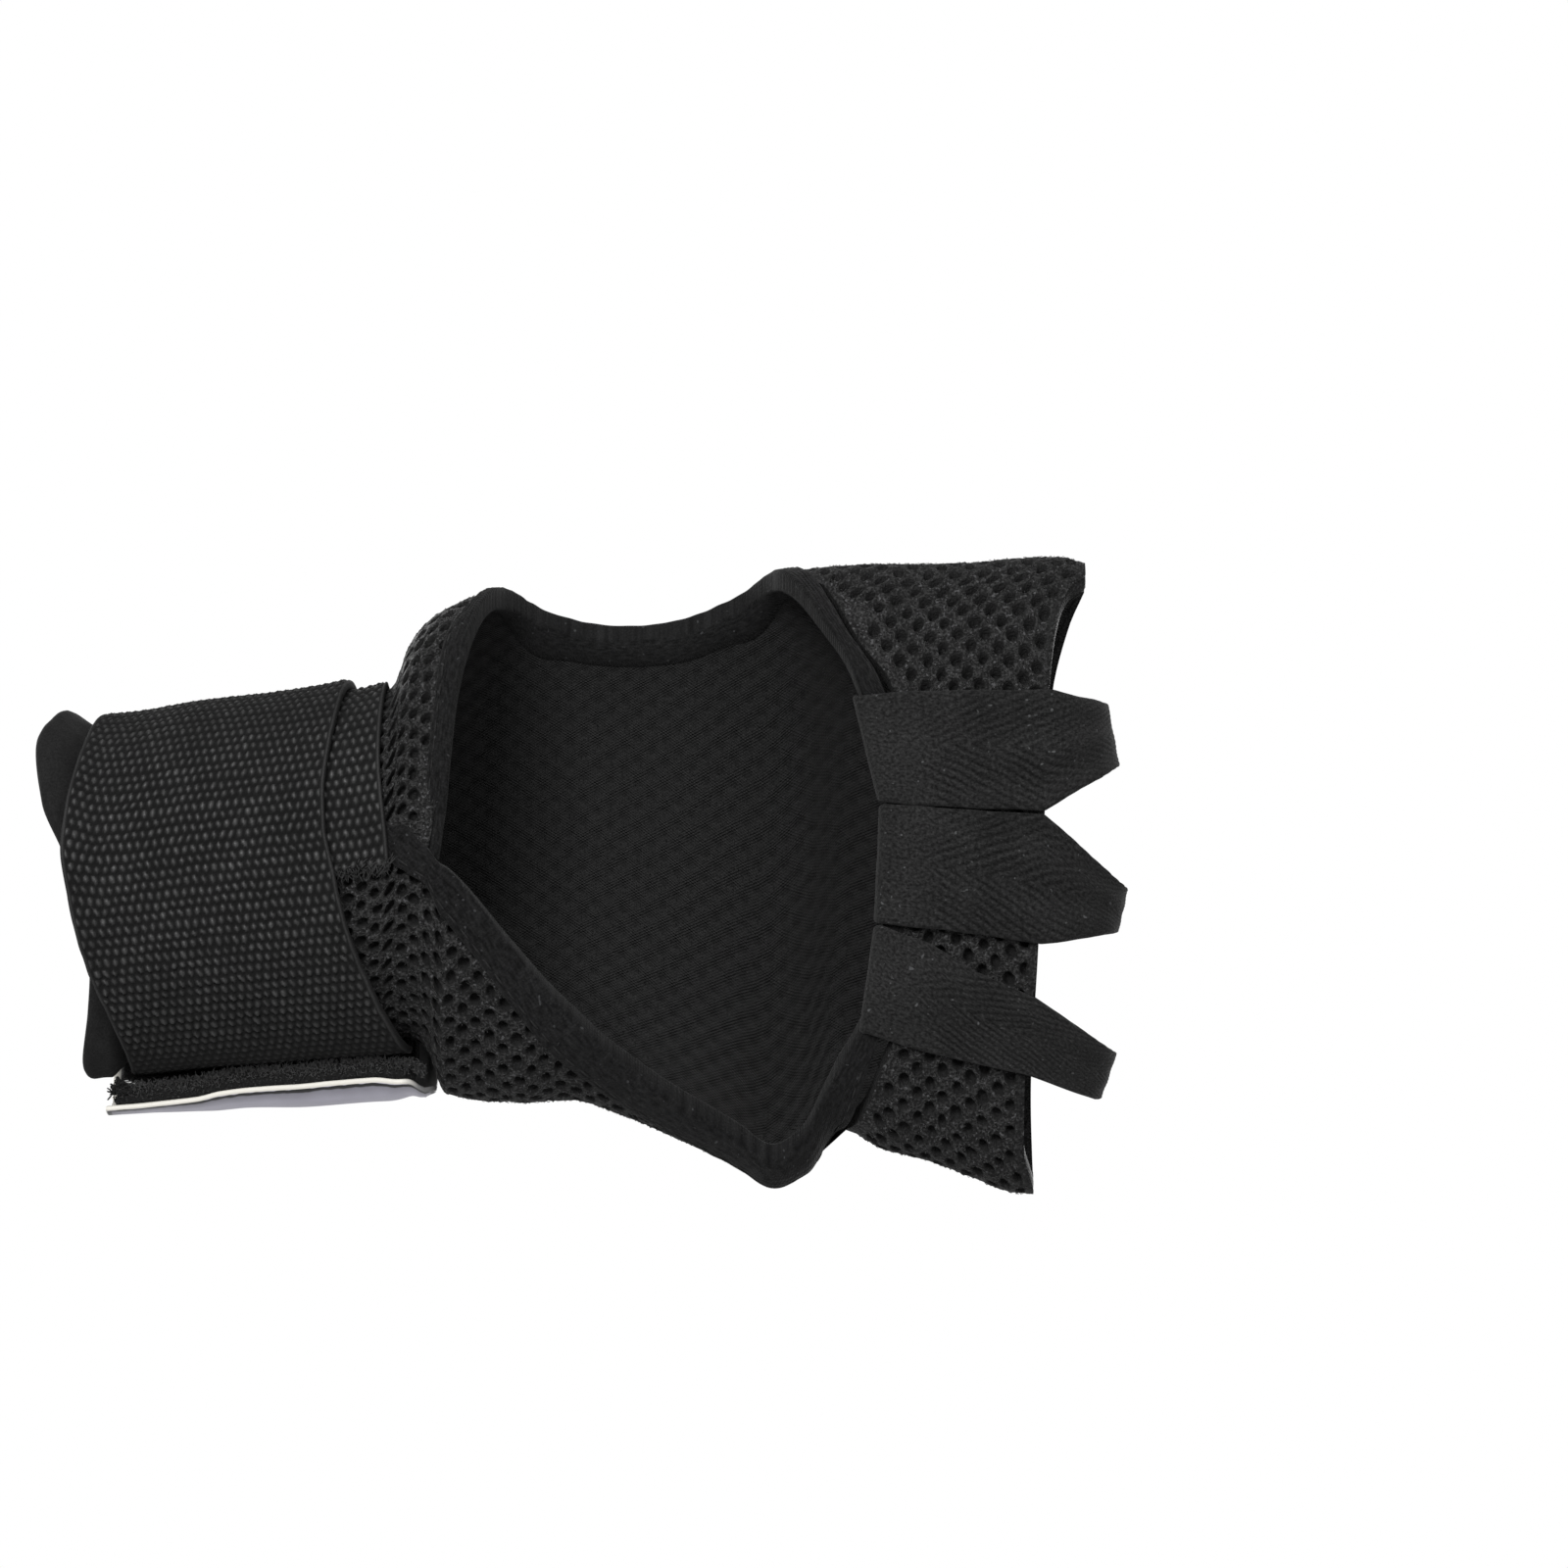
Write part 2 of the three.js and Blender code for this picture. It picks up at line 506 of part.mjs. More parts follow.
// A plate of the closure on the second turn: its height above the strap's bed, its thickness, and how far its
// sides are drawn in.
function makePlate(low, thick, inset) {
  const steps = 10;
  const columns = 6;
  return wall(steps, columns, (i, j, outer) => {
    const wound = lerp(TAB_FROM, TAB_TO, i / steps);
    const x = lerp(TAB_LEFT + inset, TAB_RIGHT - inset, j / columns);
    return onWinding(wound, x, low + outer * thick);
  });
}

// The y of the face at x and z, lifted, on the palm or on the back.
function depthAt(x, z, side, lift) {
  return face(x, angleAt(x, z, side), lift)[1];
}

// A finger tape: on the palm, round the fold between the fingers as half an ellipse, and on the back to its hem.
function makeTape(tape) {
  const leave = tape.palm[tape.palm.length - 1];
  const columns = 4;
  const foldSteps = 12;
  const palmLift = 1.0;
  const backLift = 0.45;
  const between = (row, across) => [
    lerp(row.lowX, row.highX, across),
    lerp(row.lowZ, row.highZ, across),
  ];
  const rows = [];
  for (let n = 0; n < (tape.palm.length - 1) * 2; n++) {
    const [a, b] = [tape.palm[Math.floor(n / 2)], tape.palm[Math.floor(n / 2) + 1]];
    const share = (n % 2) / 2;
    rows.push((across, height) => {
      const [x, z] = between(a, across).map((value, axis) => lerp(value, between(b, across)[axis], share));
      return [x, depthAt(x, z, "palm", palmLift + height), z];
    });
  }
  for (let n = 0; n <= foldSteps; n++) {
    const turn = (n / foldSteps) * Math.PI;
    rows.push((across, height) => {
      const [fromX, fromZ] = between(leave, across);
      const [toX, toZ] = between(tape.fold, across);
      const reach = Math.sin(turn);
      const side = turn < Math.PI / 2 ? "palm" : "back";
      const lift = (side === "palm" ? palmLift : backLift) + height;
      const middle = sectionAt(fromX).midY;
      const y = middle + (depthAt(fromX, fromZ, side, lift) - middle) * Math.abs(Math.cos(turn));
      return [lerp(fromX, toX + height, reach), y, lerp(fromZ, toZ, reach)];
    });
  }
  const hemSteps = 4;
  for (let n = 1; n <= hemSteps; n++)
    rows.push((across, height) => {
      const [x, z] = between(leave, across).map((value, axis) =>
        lerp(value, between(tape.hem, across)[axis], n / hemSteps),
      );
      return [x, depthAt(x, z, "back", backLift + height), z];
    });
  return wall(rows.length - 1, columns, (i, j, outer) => rows[i](j / columns, outer * TAPE_THICK));
}

function cloth(name, geometry, color, roughness = 0.9) {
  geometry.computeVertexNormals();
  const material = new THREE.MeshStandardMaterial({ color, roughness, metalness: 0 });
  const mesh = new THREE.Mesh(geometry, material);
  mesh.name = name;
  return mesh;
}

const glove = new THREE.Group();
glove.add(cloth("mesh_shell", makeShell(), MESH_BLACK));
glove.add(cloth("opening_binding", makeBinding(), CLOTH_BLACK));
glove.add(cloth("wrist_cuff", makeCuff(), CLOTH_BLACK));
for (const tape of TAPES) glove.add(cloth(tape.name, makeTape(tape), CLOTH_BLACK));

const wrap = new THREE.Group();
const tabBed = STRAP_THICK + GAP;
wrap.add(cloth("wrist_strap", makeStrap(), STRAP_BLACK, 0.8));
wrap.add(cloth("closure_tab", makePlate(tabBed, TAB_THICK, 0), CLOTH_BLACK));
wrap.add(cloth("tab_patch", makePlate(tabBed + TAB_THICK + GAP, PATCH_THICK, 0.4), PATCH_GREY, 0.6));
glove.add(wrap);

export default glove;
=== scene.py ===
# %% [markdown]
# # A fingerless workout glove with a wrist wrap
# A black glove of knitted spacer mesh is pulled over the hand. Twill tape binds its large palm and thumb
# opening, three herringbone tapes go between the fingers, and a woven elastic strap winds twice round the
# wrist, over a padded cuff, and is shut by a tab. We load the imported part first: it gives every piece its
# place and size, and each cloth piece below is a finer surface in the same place.

import bpy
import numpy as np
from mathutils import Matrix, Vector


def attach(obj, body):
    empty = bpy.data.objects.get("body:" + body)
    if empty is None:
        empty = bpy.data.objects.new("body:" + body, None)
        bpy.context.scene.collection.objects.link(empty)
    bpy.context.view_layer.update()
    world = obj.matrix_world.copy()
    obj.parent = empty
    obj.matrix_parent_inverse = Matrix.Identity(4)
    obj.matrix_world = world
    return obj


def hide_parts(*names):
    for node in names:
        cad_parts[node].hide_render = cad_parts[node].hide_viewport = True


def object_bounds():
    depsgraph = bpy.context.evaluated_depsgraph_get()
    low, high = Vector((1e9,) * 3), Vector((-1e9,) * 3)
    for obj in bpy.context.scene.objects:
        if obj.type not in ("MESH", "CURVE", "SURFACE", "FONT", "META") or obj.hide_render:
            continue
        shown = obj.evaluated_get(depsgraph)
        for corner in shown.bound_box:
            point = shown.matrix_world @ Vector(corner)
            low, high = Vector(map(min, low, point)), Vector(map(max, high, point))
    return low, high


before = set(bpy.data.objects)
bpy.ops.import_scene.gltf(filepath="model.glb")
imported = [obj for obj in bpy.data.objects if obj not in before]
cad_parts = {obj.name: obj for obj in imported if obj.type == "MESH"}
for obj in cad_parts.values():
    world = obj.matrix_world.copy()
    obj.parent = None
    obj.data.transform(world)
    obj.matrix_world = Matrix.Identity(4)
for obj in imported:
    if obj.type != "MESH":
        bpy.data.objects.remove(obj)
cad_low, cad_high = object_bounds()
MM = 0.001
print("CAD box in mm:", [round(side / MM, 1) for side in cad_high - cad_low])


def placed(name, data):
    """A new object of the scene that shows this data."""
    thing = bpy.data.objects.new(name, data)
    bpy.context.scene.collection.objects.link(thing)
    return thing


# %% [markdown]
# ## Camera
# The photograph looks straight at the palm with the fingers to the right, from far away, so a long lens
# stands far back on the palm's side. The width that the picture shows is a real size: 1600 pixels at 6.7 to
# the millimetre.

# %% Camera
PHOTO_PIXELS = 1600
PIXELS_PER_MM = 6.7
VIEW_MIDDLE = Vector((84.3, -8, 15.7)) * MM
SENSOR_MM = 36
LENS_MM = 300
view_distance = PHOTO_PIXELS / PIXELS_PER_MM * MM * LENS_MM / SENSOR_MM
camera_data = bpy.data.cameras.new("palm_camera")
camera_data.sensor_width = SENSOR_MM
camera_data.lens = LENS_MM
camera_data.clip_end = 20
camera = placed("palm_camera", camera_data)
camera.location = VIEW_MIDDLE - Vector((0, view_distance, 0))
camera.rotation_euler = (np.pi / 2, 0, 0)
bpy.context.scene.camera = camera
print("the camera is", round(view_distance, 2), "m away")

# %% [markdown]
# ## Studio
# Black cloth shows its weave only where light comes from one side, so a large soft key light stands at the
# upper left, with weaker ones opposite, above and behind. The backdrop is the world's own white. The floor is
# a pale sheet below the picture, because the glove is held up at the wrist.

# %% Lights, backdrop and floor
bpy.context.scene.view_settings.view_transform = "Standard"
GLOVE_MIDDLE = Vector((50, 0, 0)) * MM
FLOOR_BELOW = 0.4
FLOOR_SIDE = 8.0
BACKDROP_WHITE = 1.0
SOFT_DAYLIGHT = 0.30
LAMPS = {  # place in metres, side in metres, watts
    "key": ((-0.5, -1.5, 0.75), 0.7, 30),
    "fill": ((0.9, -1.4, 0.25), 1.0, 8),
    "top": ((0.1, -0.5, 1.5), 0.8, 6),
    "back_left": ((-0.7, 1.5, 0.4), 0.9, 14),
    "back_right": ((0.8, 1.5, 0.0), 0.9, 12),
}


def add_lamp(name, place, side, watts):
    """A square soft light that faces the glove."""
    data = bpy.data.lights.new(name, "AREA")
    data.size = side
    data.energy = watts
    lamp = placed(name, data)
    lamp.location = place
    lamp.rotation_euler = (GLOVE_MIDDLE - Vector(place)).to_track_quat("-Z", "Y").to_euler()


for lamp_name, lamp_row in LAMPS.items():
    add_lamp(lamp_name, *lamp_row)

world = bpy.data.worlds.new("white_studio")
world.use_nodes = True
world_nodes, world_links = world.node_tree.nodes, world.node_tree.links
either = world_nodes.new("ShaderNodeMixShader")
world_links.new(world_nodes.new("ShaderNodeLightPath").outputs["Is Camera Ray"], either.inputs["Fac"])
daylight, backdrop = world_nodes["Background"], world_nodes.new("ShaderNodeBackground")
for number, (background, strength) in enumerate(((daylight, SOFT_DAYLIGHT), (backdrop, BACKDROP_WHITE))):
    background.inputs["Color"].default_value = (1, 1, 1, 1)
    background.inputs["Strength"].default_value = strength
    world_links.new(background.outputs[0], either.inputs[number + 1])
world_links.new(either.outputs[0], world_nodes["World Output"].inputs["Surface"])
bpy.context.scene.world = world

# %% [markdown]
# ## Meshes from arrays
# Every piece is computed as whole numpy arrays: points in metres, faces as rows of point numbers, a place in
# the cloth for each point (the UV map that the weave follows) and, where a finish needs it, a named value for
# each point, such as how deep in a hole it is. One helper puts them into a mesh, and one gives the piece its
# finish and its body and hides the CAD node that it stands for.

# %% From arrays to pieces


def turned_out(points, faces):
    """A closed shape's faces, reversed if its volume, a sum of tetrahedra to the origin, is negative."""
    volume = 0
    for group in faces:
        for k in range(1, group.shape[1] - 1):
            a, b, c = (points[group[:, n]] for n in (0, k, k + 1))
            volume += np.einsum("ij,ij->", a, np.cross(b, c))
    return [group[:, ::-1] for group in faces] if volume < 0 else faces


def grid_faces(rows, columns, ring=False, torus=False, first=0):
    """Quads over a grid of rows by columns points. A ring joins its last column to its first, and a torus
    joins its last row to its first too."""
    i, j = np.meshgrid(np.arange(rows - 1 + torus), np.arange(columns - 1 + (ring or torus)), indexing="ij")
    below, after = (i + 1) % rows, (j + 1) % columns
    corners = [i * columns + j, i * columns + after, below * columns + after, below * columns + j]
    return np.stack(corners, axis=-1).reshape(-1, 4) + first


def tube_faces(rows, columns):
    """The faces of a closed tube: quads round it, and a cap at each end."""
    cap = np.arange(columns)[None]
    return [grid_faces(rows, columns, ring=True), cap[:, ::-1], cap + (rows - 1) * columns]


def grid_places(along, across):
    """The places in the cloth of a grid's points."""
    return np.stack(np.broadcast_arrays(along, across), axis=-1).reshape(-1, 2)


def run_along(path, axis=0):
    """The length run along a path, up to each of its points."""
    run = np.cumsum(np.linalg.norm(np.diff(path, axis=axis), axis=-1), axis=axis)
    return np.concatenate([np.zeros_like(np.take(run, [0], axis=axis)), run], axis=axis)


def lengths(path, axis=0):
    """The same length as a share of the whole path."""
    run = run_along(path, axis)
    return run / np.take(run, [-1], axis=axis)


def unit(vectors):
    """Vectors divided by their lengths."""
    return vectors / np.linalg.norm(vectors, axis=-1, keepdims=True)


def hill(x, middle, spread):
    """A Gaussian hill, 1 high: exp of minus the square of the distance in spreads."""
    return np.exp(-(((x - middle) / spread) ** 2))


def eased(t):
    """From 0 to 1 with level ends: 3 t squared less 2 t cubed, for t held between 0 and 1."""
    t = np.clip(t, 0, 1)
    return t * t * (3 - 2 * t)


def rounded(short):
    """The drop of a quarter circle of radius 1: 1 - sqrt(1 - short squared), for short held from 0 to 1."""
    return 1 - np.sqrt(1 - np.clip(short, 0, 1) ** 2)


def make_piece(name, points, faces, places, period=None, values=None):
    """A smooth mesh at the origin. places are UV places per point; one that wraps round has its period in v,
    which is added on the far side of the seam, so that no face spans the whole pattern."""
    mesh = bpy.data.meshes.new(name)
    mesh.from_pydata(points.tolist(), [], [face for group in faces for face in group.tolist()])
    mesh.shade_smooth()
    corners = np.empty(len(mesh.loops), np.int32)
    mesh.loops.foreach_get("vertex_index", corners)
    uv = places[corners].astype(np.float32)
    if period:
        counts = np.concatenate([np.full(len(group), group.shape[1]) for group in faces])
        starts = np.concatenate([[0], np.cumsum(counts)[:-1]])
        highest = np.repeat(np.maximum.reduceat(uv[:, 1], starts), counts)
        uv[:, 1] += np.where(highest - uv[:, 1] > period / 2, period, 0)
    mesh.uv_layers.new(name="cloth").data.foreach_set("uv", uv.ravel())
    for key, value in (values or {}).items():
        mesh.attributes.new(key, "FLOAT", "POINT").data.foreach_set("value", value.astype(np.float32).ravel())
    print(name + ":", sum(len(group) * (group.shape[1] - 2) for group in faces), "triangles")
    return placed(name, mesh)


def dress(piece, material, slot, *nodes):
    """Gives a piece its finish and its body, and hides the CAD nodes that it stands for. The slot is not
    used.
    """
    piece.data.materials.append(material)
    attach(piece, "root")
    if nodes:
        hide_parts(*nodes)
    return piece


def layered(top, bottom, places, every=(1, 1)):
    """A closed sheet: a fine grid on top, and below it the grid's every so many rows and columns. Round the
    rim, one face joins each stretch of fine edge to its coarse edge. Returns points, faces and places."""
    rows, columns = top.shape[:2]
    row_step, column_step = every
    below = bottom[::row_step, ::column_step]
    low_rows, low_columns = below.shape[:2]
    first = rows * columns
    faces = [grid_faces(rows, columns), grid_faces(low_rows, low_columns, first=first)[:, ::-1]]
    for edge_row in (0, 1):
        k = np.arange(low_columns - 1)[:, None]
        fine = edge_row * (rows - 1) * columns + k * column_step + np.arange(column_step + 1)
        coarse = first + edge_row * (low_rows - 1) * low_columns + k + np.array([1, 0])
        faces.append(np.concatenate([fine, coarse], axis=1)[:, :: 1 if edge_row else -1])
    for edge_column in (0, 1):
        k = np.arange(low_rows - 1)[:, None]
        fine = (k * row_step + np.arange(row_step + 1)) * columns + edge_column * (columns - 1)
        coarse = first + (k + np.array([1, 0])) * low_columns + edge_column * (low_columns - 1)
        faces.append(np.concatenate([fine, coarse], axis=1)[:, :: -1 if edge_column else 1])
    points = np.concatenate([top.reshape(-1, 3), below.reshape(-1, 3)])
    low_places = places.reshape(rows, columns, 2)[::row_step, ::column_step]
    return points, turned_out(points, faces), np.concatenate([places, low_places.reshape(-1, 2)])


# %% [markdown]
# ## The gloved hand's shape
# The CAD model describes the glove's outer face by sections along the hand: how far it reaches to the thumb,
# the little finger, the palm and the back, and how square it is. The same sections are repeated here in
# metres, and every piece is placed by three numbers: x along the hand, an angle round it, and a lift off the
# face.

# %% Sections and folds
SECTIONS = np.array([  # x, then how far to the thumb, little finger, palm and back, then the squareness
    (-33, 27.2, -29.4, -21.8, 20.8, 2.2), (-26, 26.4, -29.0, -21.6, 20.6, 2.2),
    (-19, 23.0, -26.8, -19.8, 18.8, 2.2), (-5, 24.9, -25.4, -19.4, 18.4, 2.2),
    (10, 26.8, -24.2, -19.2, 18.2, 2.2), (18, 28.3, -23.7, -19.1, 18.2, 2.2),
    (24.4, 30.3, -23.3, -19.0, 18.2, 2.2), (27, 36.7, -23.1, -19.2, 18.6, 2.25),
    (29.6, 40.2, -24.6, -19.5, 18.9, 2.3), (32.6, 42.4, -31.5, -19.8, 19.0, 2.35),
    (40, 45.1, -32.8, -20.0, 18.8, 2.4), (52, 45.6, -32.6, -19.4, 18.0, 2.45),
    (58, 45.8, -34.3, -19.0, 17.6, 2.5), (70, 46.6, -39.4, -18.2, 16.8, 2.5),
    (77, 47.2, -42.7, -17.7, 16.4, 2.5), (82.6, 47.8, -45.9, -17.3, 16.1, 2.5),
    (88, 48.5, -43.2, -16.9, 15.8, 2.5), (92.8, 49.0, -36.9, -16.5, 15.5, 2.5),
    (99.5, 49.3, -40.1, -16.0, 15.1, 2.5), (106, 49.3, -41.7, -15.5, 14.7, 2.5),
    (113, 49.5, -44.4, -15.0, 14.2, 2.5), (120, 50.2, -46.8, -14.4, 13.7, 2.5),
    (126, 50.4, -47.0, -13.8, 13.2, 2.5), (131, 49.2, -46.8, -13.4, 12.8, 2.5),
]) * (MM, MM, MM, MM, MM, 1)

FOLDS = np.array([  # x, degrees, spread in x, spread in degrees, depth (outwards is positive)
    (30, 222, 3, 26, 0.9), (37, 232, 3, 24, -0.8), (45, 246, 3, 20, 0.7), (36, 128, 4, 16, 0.6),
    (104, 122, 4, 14, -0.7), (112, 142, 4, 14, 0.6), (104, 246, 4, 14, 0.7), (70, 20, 5, 40, -0.7),
    (84, -30, 5, 30, 0.8),
]) * (MM, 1, MM, 1, MM)


def smooth_column(knots, values):
    """A smooth function through a table's rows that never overshoots them: cubics whose slope at a row is the
    harmonic mean of the slopes at its sides, or 0 at a peak."""
    steps = np.diff(knots)
    slopes = np.diff(values) / steps
    before, after = slopes[:-1], slopes[1:]
    level = before * after <= 0
    inner = np.where(level, 0, 2 * before * after / np.where(level, 1, before + after))
    tangents = np.concatenate([slopes[:1], inner, slopes[-1:]])

    def at(x):
        x = np.clip(x, knots[0], knots[-1])
        i = np.clip(np.searchsorted(knots, x, side="right") - 1, 0, len(steps) - 1)
        t = (x - knots[i]) / steps[i]
        from_values = values[i] * (2 * t**3 - 3 * t**2 + 1) + values[i + 1] * (3 * t**2 - 2 * t**3)
        from_slopes = tangents[i] * (t**3 - 2 * t**2 + t) + tangents[i + 1] * (t**3 - t**2)
        return from_values + steps[i] * from_slopes

    return at


def smooth_columns(table):
    """Such a function for each of a table's columns after the first, which has the knots."""
    return [smooth_column(table[:, 0], column) for column in table.T[1:]]


FACE_SIDES = smooth_columns(SECTIONS)
thumb_side, pinky_side, palm_side, back_side, squareness = FACE_SIDES


def fold_lift(x, angle):
    """How far the soft folds lift the face: each is a Gaussian hill or hollow in x and in the angle."""
    lift = 0
    for fold_x, degrees, spread_x, spread_degrees, depth in FOLDS:
        turn = (np.degrees(angle) - degrees + 180) % 360 - 180
        lift = lift + depth * hill(x, fold_x, spread_x) * hill(turn, 0, spread_degrees)
    return lift


def bent(value, square):
    """A sine or cosine raised to 2 / square, with its sign kept: the superellipse's rounding."""
    return np.sign(value) * np.abs(value) ** (2 / square)


def face(x, angle, lift=0.0):
    """A point on the glove's outer face. In each section y goes with the bent cosine of the angle and z with
    its bent sine, times the section's half sizes and lift. Angle 0 is the back, 90 the thumb side, 180 the
    palm."""
    x, angle, lift = np.broadcast_arrays(x, angle, lift)
    out = lift + fold_lift(x, angle)
    thumb, pinky, palm, back, square = (side(x) for side in FACE_SIDES)
    y = (palm + back) / 2 + ((back - palm) / 2 + out) * bent(np.cos(angle), square)
    z = (thumb + pinky) / 2 + ((thumb - pinky) / 2 + out) * bent(np.sin(angle), square)
    return np.stack([x, y, z], axis=-1)


def angle_at(x, z, on_palm):
    """The angle at which the face has height z, on the palm or on the back."""
    middle, half = (thumb_side(x) + pinky_side(x)) / 2, (thumb_side(x) - pinky_side(x)) / 2
    share = np.clip((z - middle) / half, -1, 1)
    turn = np.arcsin(np.sign(share) * np.abs(share) ** (squareness(x) / 2))
    return np.where(on_palm, np.pi - turn, turn)


def ripple(u, v, length, seed):
    """Gentle unevenness from -1 to 1: the mean of five sine waves of about one length in seeded
    directions."""
    draw = np.random.default_rng(seed)
    total = 0
    for _ in range(5):
        way, start = draw.uniform(0, 2 * np.pi, 2)
        wave = length * draw.uniform(0.7, 1.4)
        total = total + np.sin((u * np.cos(way) + v * np.sin(way)) * 2 * np.pi / wave + start)
    return total / 5


check = face(np.array([58.0]) * MM, np.array([np.pi]))
print("palm face at x = 58 mm, in mm:", (check[0] / MM).round(1))

# %% [markdown]
# ## Finishes
# All of the glove is black cloth, so the finishes differ in weave, fuzz and gloss rather than in colour. Each
# is a Principled shader with low specular, because fibres trap light, and with sheen for the fuzz at grazing
# angles. Colour varies with fine noise, and the weave is a bump on the piece's own cloth coordinates, in
# metres.

# %% Shader helpers


class Finish:
    """A material with short ways to add the nodes that a cloth needs."""

    def __init__(self, name, roughness, specular, sheen=0.0):
        self.material = bpy.data.materials.new(name)
        self.material.use_nodes = True
        self.nodes, self.links = self.material.node_tree.nodes, self.material.node_tree.links
        self.shader = self.nodes["Principled BSDF"]
        self.shader.inputs["Roughness"].default_value = roughness
        self.shader.inputs["Specular IOR Level"].default_value = specular
        self.shader.inputs["Sheen Weight"].default_value = sheen
        self.shader.inputs["Sheen Roughness"].default_value = 0.5
        self.places = self.nodes.new("ShaderNodeTexCoord").outputs

    def put(self, socket, value):
        """Links a value to a socket, or sets it there if it is a number."""
        if isinstance(value, bpy.types.NodeSocket):
            self.links.new(value, socket)
        else:
            socket.default_value = value

    def add(self, kind, inputs, **settings):
        """A new node with its settings and inputs."""
        node = self.nodes.new("ShaderNode" + kind)
        for key, value in settings.items():
            setattr(node, key, value)
        for key, value in inputs.items():
            self.put(node.inputs[key], value)
        return node

    def maths(self, operation, *values):
        return self.add("Math", dict(enumerate(values)), operation=operation).outputs[0]

    def product(self, a, b):
        return self.maths("MULTIPLY", a, b)

    def noise(self, size, detail=3, place="Object", stretch=(1, 1, 1)):
        """Noise from 0 to 1 whose lumps are about size metres across, stretched along an axis if asked."""
        scale = [s / size for s in stretch]
        mapped = self.add("Mapping", {"Vector": self.places[place], "Scale": scale}).outputs[0]
        return self.add("TexNoise", {"Vector": mapped, "Scale": 1, "Detail": detail}).outputs["Fac"]

    def cloth_axes(self):
        """The place in the cloth: along and across, in metres."""
        return self.add("SeparateXYZ", {0: self.places["UV"]}).outputs[:2]

    def waves(self, value, pitch):
        """From -1 to 1: the cosine of a length, once in each pitch."""
        return self.maths("COSINE", self.product(value, 2 * np.pi / pitch))

    def ribs(self, value, pitch, depth):
        """Relief in such waves, depth high."""
        self.bump(self.maths("MULTIPLY_ADD", self.waves(value, pitch), 0.5, 0.5), depth)

    def named(self, attribute):
        return self.add("Attribute", {}, attribute_name=attribute).outputs["Fac"]

    def ramp(self, value, *stops):
        """Colours between stops of (value, grey or colour)."""
        node = self.add("ValToRGB", {0: value})
        elements = node.color_ramp.elements
        while len(elements) < len(stops):
            elements.new(0.5)
        for element, (at, colour) in zip(elements, stops):
            element.position = at
            element.color = (*colour, 1) if hasattr(colour, "__len__") else (colour, colour, colour, 1)
        return node.outputs[0]

    def clouds(self, size, *stops, **how):
        """A ramp over noise: soft patches of tone."""
        return self.ramp(self.noise(size, **how), *stops)

    def mixed(self, share, a, b, blend="MIX"):
        return self.add("Mix", {0: share, 6: a, 7: b}, data_type="RGBA", blend_type=blend).outputs[2]

    def shaded(self, tint, shade):
        """A tint times a shade."""
        return self.mixed(1.0, tint, shade, "MULTIPLY")

    def colour(self, value):
        self.put(self.shader.inputs["Base Color"], value)

    def bump(self, height, distance):
        """Relief: height 0 to 1 stands for distance metres. A second call adds its relief to the first."""
        node = self.add("Bump", {"Strength": 1.0, "Distance": distance, "Height": height})
        normal = self.shader.inputs["Normal"]
        if normal.is_linked:
            self.links.new(normal.links[0].from_socket, node.inputs["Normal"])
        self.links.new(node.outputs[0], normal)


# %% [markdown]
# ### The spacer mesh's finish
# Its yarn is a soft, slightly shiny filament. The outer face is dark grey on the ridges, and down the holes
# its colour is painted nearly black as shade, by a named value that grows with depth. Fine loops of yarn are
# a bump of small noise, and pale specks where another small noise peaks are painted glints of loops that
# catch the light. The inner face is smoother, with the shallow marks of the holes' other ends, painted darker
# as shade.

# %% Spacer mesh finish
HOLE_SHADE = (0.005, 0.005, 0.005, 1)  # painted shade down the holes and in the inner face's hole marks
LOOP_LUMPS = 0.42 * MM
HOLE_MARKS = 4.2 * MM  # between the marks on the inner face
STITCH_ROWS, STITCH_COLUMNS = 0.7 * MM, 0.525 * MM


def mesh_finish():
    finish = Finish("spacer_mesh_knit", roughness=0.62, specular=0.15, sheen=0.025)
    loops = finish.noise(LOOP_LUMPS, detail=2)
    tint = finish.clouds(6 * MM, (0.3, 0.0062), (0.7, 0.0092))
    tint = finish.shaded(tint, finish.ramp(loops, (0.38, 0.25), (0.5, 0.9), (0.62, 3.2)))
    # Painted glints: pale specks where a small noise peaks.
    painted_glint = finish.clouds(0.45 * MM, (0.68, 0.0), (0.76, 1.0), detail=0)
    tint = finish.mixed(painted_glint, tint, (0.055, 0.055, 0.057, 1))
    # Painted shade: the deeper down a hole, the nearer the colour comes to near black.
    pit_shade = finish.named("pit_shade")
    tint = finish.mixed(pit_shade, tint, HOLE_SHADE)
    row, column = finish.cloth_axes()
    marks = finish.product(finish.waves(row, HOLE_MARKS), finish.waves(column, HOLE_MARKS))
    wales = finish.product(finish.waves(row, STITCH_ROWS), finish.waves(column, STITCH_COLUMNS))
    inner = finish.ramp(finish.maths("MULTIPLY_ADD", wales, 0.25, 0.5), (0.25, 0.006), (0.75, 0.016))
    # The hole marks on the inner face are painted darker, as shade.
    inner = finish.mixed(finish.ramp(marks, (0.2, 0.0), (0.8, 0.7)), inner, HOLE_SHADE)
    is_inner = finish.maths("LESS_THAN", pit_shade, -0.5)
    finish.colour(finish.mixed(is_inner, tint, inner))
    finish.bump(loops, LOOP_LUMPS)
    finish.bump(finish.product(marks, is_inner), -0.35 * MM)
    finish.bump(finish.product(wales, is_inner), 0.12 * MM)
    return finish.material


spacer_mesh_knit = mesh_finish()
